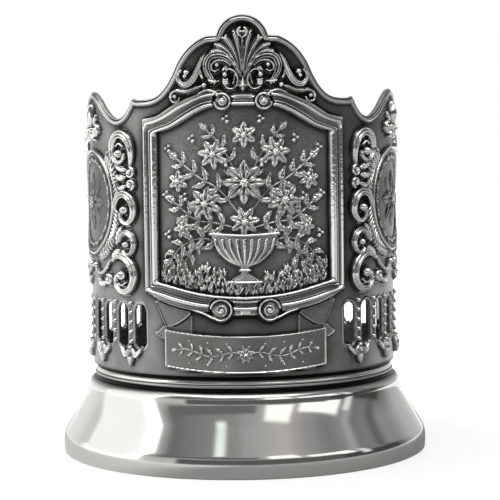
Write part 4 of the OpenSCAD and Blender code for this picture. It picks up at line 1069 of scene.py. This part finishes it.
# Cross-section of the rim: distance in from the rim line, and radius over the bore
RIM_SECTION = np.array([(1.75, 0.98), (1.62, 1.04), (1.52, 1.14), (1.42, 1.3), (1.28, 1.46), (1.1, 1.58),
                        (0.92, 1.62), (0.74, 1.6), (0.58, 1.5), (0.47, 1.34), (0.4, 1.16), (0.35, 1.08),
                        (0.3, 1.12), (0.24, 1.2), (0.16, 1.22), (0.07, 1.14), (0.0, 1.0), (0.0, 0.6),
                        (0.05, 0.3), (0.15, 0.12), (0.32, 0.03), (0.6, 0.0), (1.2, 0.0)])


def build_rim():
    path = rim_path()
    n, over = len(path), 6
    ext = np.vstack([path[-over:] - [TURN_S, 0], path, path[:over] + [TURN_S, 0]])
    k = np.array([1, 2, 3, 2, 1]) / 9
    d = np.gradient(ext, axis=0)
    d = np.column_stack([np.convolve(d[:, 0], k, "same"), np.convolve(d[:, 1], k, "same")])[over:-over]
    d /= np.linalg.norm(d, axis=1)[:, None]
    inward, out = RIM_SECTION.T
    ring_s = path[:, 0][:, None] + d[:, 1][:, None] * inward[None]
    ring_z = path[:, 1][:, None] - d[:, 0][:, None] * inward[None]
    r = BORE_R + out[None] + lead_in(ring_z) * (1 - np.clip(out, 0, 1)[None])
    # painted highlight on the pipe's crown and lip; patina with painted shade in the groove and where the
    # pipe meets the band
    wear_and_highlight = np.interp(inward, [0, 0.16, 0.35, 0.5, 0.9, 1.4, 1.75], [0.2, 0.5, 0.0, 0.3, 0.6, 0.1, 0])
    patina_and_shade = np.interp(inward, [0, 0.16, 0.35, 0.5, 1.3, 1.6, 1.75], [0.3, 0.1, 1.0, 0.1, 0.1, 0.9, 0.8])
    inside_bore = out < 0.9
    wear_and_highlight, patina_and_shade = np.where(inside_bore, 0.2, wear_and_highlight), np.where(inside_bore, 0.1, patina_and_shade)
    make("rim_bead_pipe", on_band(ring_s.ravel(), ring_z.ravel(), r.ravel()),
         ring_quads(n, len(out), around=True)[:, TURNED], RIM_MAT, ["rim_bead"],
         np.tile(wear_and_highlight, n), np.tile(patina_and_shade, n))


build_rim()


# Reliefs
SPECIAL = {"ribbon_banner": RIBBON_MAT, "picture_plaque": PLAQUE_MAT}
for name in NODES:
    material = MEDAL_MAT if name.startswith("medallion") else SPECIAL.get(name, RELIEF_MAT)
    relief_piece(name, material)


# Turned pieces
def lathe(name, profile, n, material, replaces, groove_shade=None):
    """Turns a profile of radius and height; the last argument gives, from both, the painted shade of a
    groove.
    """
    r, z = np.array(profile, float).T
    m = len(r)
    a = (np.arange(n) * 2 * math.pi / n)[:, None]
    verts = np.stack([r[None] * np.sin(a), -r[None] * np.cos(a), np.repeat(z[None], n, 0)], -1).reshape(-1, 3)
    make(name, verts, ring_quads(n, m, around=True), material, replaces,
         np.zeros(n * m), np.tile(groove_shade(r, z) if groove_shade else np.zeros(m), n))


def arc(cx, cz, r, a0, a1, n):
    return [polar(cx, cz, r, a) for a in np.radians(np.linspace(a0, a1, n))]


FOOT_R = 42.13


def foot_profile():
    """Outline of the foot; the lean of the wall off the vertical against the height makes its outer face."""
    z = np.concatenate([np.arange(0.5, 5.6, 0.1), np.arange(5.6, 15.3, 0.25), [15.25]])
    lean = np.interp(z, [0.5, 1.2, 2.0, 3.2, 4.2, 4.9, 5.2, 10.3, 12.5, 14.8, 15.25],
                     [-7, -4, 0, 6, 16, 30, 30.8, 30.8, 26, 17, 8])
    slope = np.tan(np.radians(lean))
    r = FOOT_R - np.concatenate([[0], np.cumsum((slope[1:] + slope[:-1]) / 2 * np.diff(z))])
    r += FOOT_R - r.max()
    out = list(zip(r.tolist(), z.tolist()))
    top_r, top_z = out[-1]
    prof = [(41.2, 0.0), (41.75, 0.0), (41.98, 0.12), (42.05, 0.3)] + out
    prof += arc(top_r - 2.0, top_z, 2.0, 10, 84, 12)
    prof += [(34.5, 17.45), (34.43, 17.8), (30.5, 17.8), (30.5, 16.95), (33.4, 16.9)]
    prof += arc(33.9, 15.25, 1.62, 84, 0, 8)
    prof += [(q[0] - 0.95, q[1]) for q in out[::-2]] + [(41.1, 0.4)]
    return prof


# painted shade: the foot's top under the seam ring is dark, for the shadow in the groove there
lathe("foot_spun", foot_profile(), 384, FOOT_MAT, ["foot_shell"],
      lambda r, z: np.interp(z, [16.1, 16.6, 17.1, 18], [0, 0.5, 1, 1]) * (r > 34.2) * (z > 15.3))
ring = [(33.15, 17.8), (34.2, 17.8)] + arc(34.28, 18.25, 0.42, -75, 60, 8)
ring += [(34.3, 18.68), (34.46, 18.8), (34.5, 18.88), (34.36, 19.16), (34.2, 19.46), (34.02, 19.62),
         (33.96, 20.1), (33.9, 20.5), (33.15, 20.5)]
# painted shade: dark bands at the ring's foot, between its bead and its facet, and under the band, for the
# shadow in those grooves
lathe("seam_ring_beads", ring, 384, RING_MAT, ["seam_ring"],
      lambda r, z: np.interp(z, [17.8, 18.0, 18.2, 18.5, 18.68, 18.82, 19.47, 19.6],
                             [1, 0.6, 0.4, 0.5, 1, 0, 0, 1]))
pan = [(0.02, 19.5), (12, 19.5), (24, 19.5), (31.9, 19.5), (32.1, 19.3), (32.15, 18.6), (32.15, 17.8),
       (33.15, 17.8), (33.15, 20.2), (32.9, 20.45), (32.4, 20.5)]
pan += [(r, 20.5 - 0.04 * (1 - math.cos((32.4 - r) * 1.55))) for r in np.arange(31.9, 0.5, -0.4)]
pan += [(0.02, 20.5)]
lathe("glass_floor_pan", pan, 192, SATIN_MAT, ["glass_floor"])


# Handle: its lines lie in the plane x = 0, as y and z
def bow_line():
    shares = [(-0.08, 0.985), (0.1, 1.02), (0.36, 1.13), (0.64, 1.11), (0.87, 0.94), (0.95, 0.7),
              (0.87, 0.44), (0.64, 0.22), (0.38, 0.09), (0.14, 0.01), (-0.08, 0.01)]
    return smooth([(BOW_X + BOW_REACH * a, BOW_Z + BOW_RISE * b) for a, b in shares], 0.5)


def normals(line):
    d = np.gradient(line, axis=0)
    d /= np.linalg.norm(d, axis=1)[:, None]
    return np.column_stack([-d[:, 1], d[:, 0]])


def hump(x, at, width):
    return np.exp(-((x - at) / width) ** 2)


def build_bow():
    """A ribbed strip along the bow."""
    line = bow_line()
    line = line[line[:, 0] > BOW_X - 0.2]
    thick, rib = 2.5, 0.35
    out, back = np.linspace(-1, 1, 33), np.linspace(1, -1, 17)

    def face(x):
        return thick / 2 * (1 - np.maximum(0, np.abs(x) - 0.86) ** 2 / 0.02 * 0.5)

    e = np.abs(out)
    ribs = rib * (hump(e, 0.72, 0.1) - 0.6 * hump(e, 0.45, 0.16) + 0.8 * hump(e, 0, 0.14)) * 0.5 - rib * 0.4
    x = np.concatenate([out, back])
    z = np.concatenate([face(out) + ribs, -face(back)])
    n, m = len(line), len(x)
    width = BOW_W / 2 * (1.0 - 0.12 * np.sin(math.pi * np.arange(n) / (n - 1)))
    yz = line[:, None] + normals(line)[:, None] * z[None, :, None]
    verts = np.concatenate([(x[None] * width[:, None])[..., None], yz], -1).reshape(-1, 3)
    faces = list(ring_quads(n, m)[:, TURNED])
    faces += [np.arange(m)[::-1], np.arange((n - 1) * m, n * m)]
    on_top = np.arange(m) < len(out)
    wear_and_highlight = on_top * (hump(np.abs(x), 0.72, 0.1) + hump(x, 0, 0.14)) * 0.8
    patina_and_shade = on_top * hump(np.abs(x), 0.45, 0.14) * 0.8
    make("handle_bow_strip", verts, faces, HANDLE_MAT, ["handle_bow"],
         np.tile(wear_and_highlight, n), np.tile(patina_and_shade, n))


def build_thumb():
    """A fanned leaf that follows the bow's back over its upper part and curls up at its end."""
    full = bow_line()
    nrm = normals(full)
    start = np.argmin(np.abs(full[:, 0] - (BOW_X + BOW_REACH * 0.1)))
    stop = np.argmin(np.abs(full[:, 0] - (BOW_X + BOW_REACH * 0.64)) + 5 * (full[:, 1] < 60))
    path = (full + nrm * 2.0)[start:stop + 1]
    way, curl = nrm[stop], 3.1
    a0 = math.atan2(-way[1], -way[0])
    lip = [polar(*(path[-1] + way * curl), curl, a0 + t) for t in np.linspace(0.1, math.radians(118), 16)]
    path = np.vstack([path, lip])
    nn = normals(path)
    n, m = len(path), 61
    xs = np.linspace(-1, 1, m)[None]
    u = np.linspace(0, 1, n)
    half = 6.5 * np.clip(0.62 + 0.38 * np.sin(math.pi * (0.12 + 0.8 * u)) ** 0.8, 0, 1)
    half *= 1 - 0.35 * np.clip((u - 0.88) / 0.12, 0, 1) ** 2
    # lobes that spread from the root
    flute = 0.5 + 0.5 * np.cos(2 * math.pi * (np.abs(xs) * 3.2 - u[:, None] * 0.9))
    over = (0.42 + 0.22 * flute * np.clip(1 - np.abs(xs) ** 6, 0, 1) + 0.3 * hump(xs, 0, 0.09)
            - 0.25 * np.abs(xs) ** 8)
    under = 0.55 * (1 - np.abs(xs) ** 8) + 0 * flute

    def sheet(off):
        return np.stack([half[:, None] * xs, path[:, 0][:, None] + nn[:, 0][:, None] * off,
                         path[:, 1][:, None] + nn[:, 1][:, None] * off], -1).reshape(-1, 3)

    verts = np.vstack([sheet(over), sheet(-under)])
    lo, hi = (np.array(corner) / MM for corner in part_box("thumb_rest"))
    verts[:, 1] = np.clip(verts[:, 1], lo[1], hi[1] + 0.5)
    make("thumb_rest_leaf", verts, slab_faces(n, m), HANDLE_MAT, ["thumb_rest"],
         np.concatenate([(0.9 * flute ** 2).ravel(), np.zeros(n * m)]),
         np.concatenate([((1 - flute) ** 2 * 0.9).ravel(), np.full(n * m, 0.3)]))


def build_seam():
    """Plate over the band's seam, with a groove inside its edge."""
    half, low, high = 7.4 * DEG, SEAT + LOW_RIM * 0.01, SEAT + LOW_RIM * 0.985
    s, z = np.linspace(-half, half, 75), np.arange(low, high, 0.25)
    S, Z = np.meshgrid(s, z)
    e = np.minimum(half - np.abs(S), np.minimum(Z - z[0], z[-1] - Z))
    H = 0.8 - 0.5 * np.clip(1 - e / 0.5, 0, 1) ** 2 - 0.22 * hump(e, 1.15, 0.25)
    at = (S + 180 * DEG).ravel()
    verts = [on_band(at, Z.ravel(), (BAND_R + H).ravel()),
             on_band(at, Z.ravel(), np.full(S.size, BAND_R - 0.05))]
    make("seam_strip_plate", np.vstack(verts), slab_faces(*S.shape), HANDLE_MAT,
         ["seam_strip"], np.concatenate([hump(e, 0.55, 0.3).ravel() * 0.7, np.zeros(S.size)]),
         np.concatenate([hump(e, 1.15, 0.3).ravel() * 0.9, np.zeros(S.size)]))


def build_lug(name, rise):
    """Veined leaf on the seam plate, where an end of the bow is soldered on."""
    a, b = BOW_W * 0.56, BOW_RISE * 0.17
    rings, m = 30, 96
    rows = []
    for q in np.arange(rings + 1) / rings:
        for t in np.linspace(0, 2 * math.pi, m, endpoint=False):
            vein = 0.5 + 0.5 * math.cos(14 * t)
            h = 0.8 * (1 - q ** 5) - 0.22 * vein * q * (1 - q) * 4 * 0.6
            rows.append((180 * DEG + a * math.cos(t) * (1 - 0.12 * math.sin(t) ** 2) * q,
                         SEAT + rise + b * math.sin(t) * q, BAND_R + 0.8 + h, 0.8 * (1 - vein) * q,
                         0.9 * vein * (1 - q ** 3) * min(q * 3, 1) + (0.8 if q > 0.97 else 0)))
    s, z, r, wear_and_highlight, patina_and_shade = np.array(rows).T
    make(name + "_leaf", on_band(s, z, r), ring_quads(rings + 1, m), HANDLE_MAT, [name],
         wear_and_highlight, patina_and_shade)


build_bow()
build_thumb()
build_seam()
build_lug("handle_upper_lug", 48)
build_lug("handle_lower_lug", 11)


# Stage and light. Directions are given as seen from the part: azimuth 0 is the camera's side, 90 its right
def within(nt, value, lo, hi, soft):
    """1 between lo and hi, 0 outside, with soft edges."""
    return times(nt, smooth_step(nt, value, lo - soft, lo + soft),
                 math_node(nt, "SUBTRACT", 1.0, smooth_step(nt, value, hi - soft, hi + soft)))


def seen_directly(nt, rays):
    return plus(nt, rays["Is Camera Ray"], rays["Is Transmission Ray"], clamp=True)


def build_world():
    """Surroundings that the metal mirrors; the camera itself sees plain white."""
    world = bpy.data.worlds.new("studio")
    bpy.context.scene.world = world
    world.use_nodes = True
    nt = world.node_tree
    way = node(nt, "ShaderNodeTexCoord", {}).outputs["Generated"]
    xyz = node(nt, "ShaderNodeSeparateXYZ", {0: way}).outputs
    az = times(nt, math_node(nt, "ARCTAN2", xyz["X"], times(nt, xyz["Y"], -1.0)), 180 / math.pi)
    el = times(nt, math_node(nt, "ARCSINE", xyz["Z"]), 180 / math.pi)
    turn = math_node(nt, "DIVIDE", plus(nt, az, 180.0), 360.0)

    def ring(stops):
        return ramp(nt, turn, [((a + 180) / 360, (v, v * g, v * b)) for a, v, g, b in stops], "EASE")

    light = mix_color(nt, smooth_step(nt, el, 8, 36), ring(LOW_RING), ring(HIGH_RING))
    light = mix_color(nt, smooth_step(nt, el, 56, 60), light, CEILING)
    for az0, az1, el0, el1, soft, value in SOFTBOXES:
        box = times(nt, within(nt, az, az0, az1, soft), within(nt, el, el0, el1, soft))
        light = mix_color(nt, box, light, value)
    bg = nt.nodes["Background"]
    put(nt, bg, {"Color": light})
    white = node(nt, "ShaderNodeBackground", {"Color": (1, 1, 1, 1)})
    rays = node(nt, "ShaderNodeLightPath", {}).outputs
    mix = node(nt, "ShaderNodeMixShader", {0: seen_directly(nt, rays), 1: bg.outputs[0], 2: white.outputs[0]})
    put(nt, nt.nodes["World Output"], {"Surface": mix.outputs[0]})


CEILING = (0.9, 0.9, 0.9)
# Brightness round the horizon, and higher up: azimuth, level, and share of green and blue
LOW_RING = [(-180, 1.0, 1.0, 1.0), (-142, 0.85, 1.01, 1.0), (-128, 0.75, 1.03, 1.0), (-112, 1.5, 1.05, 1.0),
            (-90, 2.3, 1.04, 0.99), (-76, 1.3, 1.03, 0.98), (-64, 0.6, 1.02, 0.97), (-52, 0.55, 1.01, 0.95),
            (-33, 0.85, 1.0, 0.93), (-12, 0.5, 1.0, 0.93), (10, 0.4, 1.0, 0.93), (24, 0.3, 1.0, 0.94),
            (42, 0.52, 0.99, 0.93), (56, 0.25, 1.01, 0.95), (112, 0.15, 1.01, 0.96), (136, 0.5, 1.0, 1.0),
            (180, 1.0, 1.0, 1.0)]
HIGH_RING = [(-180, 0.6, 1.0, 1.0), (-142, 0.34, 1.0, 1.0), (-124, 0.4, 1.0, 1.0), (-66, 0.36, 1.0, 1.0),
             (-59, 0.17, 1.0, 1.0), (-45, 0.22, 1.0, 1.0), (-27, 0.25, 1.03, 1.0), (-10, 0.27, 1.03, 1.0),
             (1, 0.37, 1.0, 1.0), (17, 0.42, 1.0, 0.98), (30, 0.48, 0.97, 0.94), (42, 0.4, 0.97, 0.95),
             (50, 0.32, 1.0, 1.0), (66, 0.22, 1.0, 1.02), (76, 0.26, 1.0, 1.03), (82, 0.42, 1.0, 1.03),
             (88, 0.2, 1.0, 1.03), (96, 0.24, 1.0, 1.03), (103, 0.12, 1.0, 1.02), (112, 0.4, 1.0, 1.02),
             (150, 0.42, 1.0, 1.0), (180, 0.7, 1.0, 1.0)]
# Azimuth from and to, elevation from and to, softness of the edge, colour
SOFTBOXES = [(-123, -72, 6, 52, 1.6, (1.12, 1.12, 1.1)), (-80, -70, 4, 52, 1.6, (2.4, 2.4, 2.36)),
             (15, 36, 24, 46, 1.2, (1.25, 1.25, 1.22)), (41, 74, 16, 35, 1.2, (1.25, 1.25, 1.23)),
             (-25, -17, 46, 52, 1.2, (1.1, 1.2, 1.16)), (-44, 62, -8, 20, 2.0, (0.11, 0.11, 0.11)),
             (62, 112, -8, 16, 2.0, (0.06, 0.06, 0.06)), (-60, 8, 24, 38, 1.5, (0.15, 0.155, 0.155)),
             (-115, 70, 57, 84, 1.6, (3.6, 3.6, 3.54)), (78, 84, 8, 30, 1.0, (0.9, 0.9, 0.9))]


def build_floor():
    size = 4.0
    mesh = bpy.data.meshes.new("floor")
    mesh.from_pydata([(-size, -size, 0), (size, -size, 0), (size, size, 0), (-size, size, 0)], [],
                     [(0, 1, 2, 3)])
    floor = bpy.data.objects.new("floor", mesh)
    bpy.context.scene.collection.objects.link(floor)
    mat, nt, b = principled("floor_white")
    put(nt, b, {"Metallic": 0.0, "Base Color": (0.3, 0.3, 0.3, 1), "Roughness": 0.7,
                "Specular IOR Level": 0.1})
    at = node(nt, "ShaderNodeTexCoord", {}).outputs["Object"]
    xyz = node(nt, "ShaderNodeSeparateXYZ", {0: at}).outputs
    far = node(nt, "ShaderNodeVectorMath", {0: at}, operation="LENGTH").outputs["Value"]
    glow = smooth_step(nt, far, 0.05, 0.16)
    rays = node(nt, "ShaderNodeLightPath", {}).outputs
    # the camera sees it white, with a soft shade close to the part
    shown = times(nt, seen_directly(nt, rays), plus(nt, 0.7, glow))
    # in the metal it shows white behind the part and on its left, and dimmer in front
    left = smooth_step(nt, times(nt, xyz["X"], -1.0), 0.012, 0.036)
    behind = math_node(nt, "MAXIMUM", smooth_step(nt, xyz["Y"], -0.02, 0.1), 0.24)
    close = times(nt, left, plus(nt, times(nt, glow, 0.35), 0.45))
    share = math_node(nt, "MAXIMUM", close, times(nt, glow, behind))
    mirrored = times(nt, rays["Is Glossy Ray"], times(nt, share, 0.7))
    em = node(nt, "ShaderNodeEmission", {"Color": (1, 1, 1, 1), "Strength": plus(nt, shown, mirrored)})
    both = node(nt, "ShaderNodeAddShader", {0: b.outputs[0], 1: em.outputs[0]})
    put(nt, nt.nodes["Material Output"], {"Surface": both.outputs[0]})
    mesh.materials.append(mat)


build_world()
build_floor()

bpy.context.scene.view_settings.view_transform = "Standard"
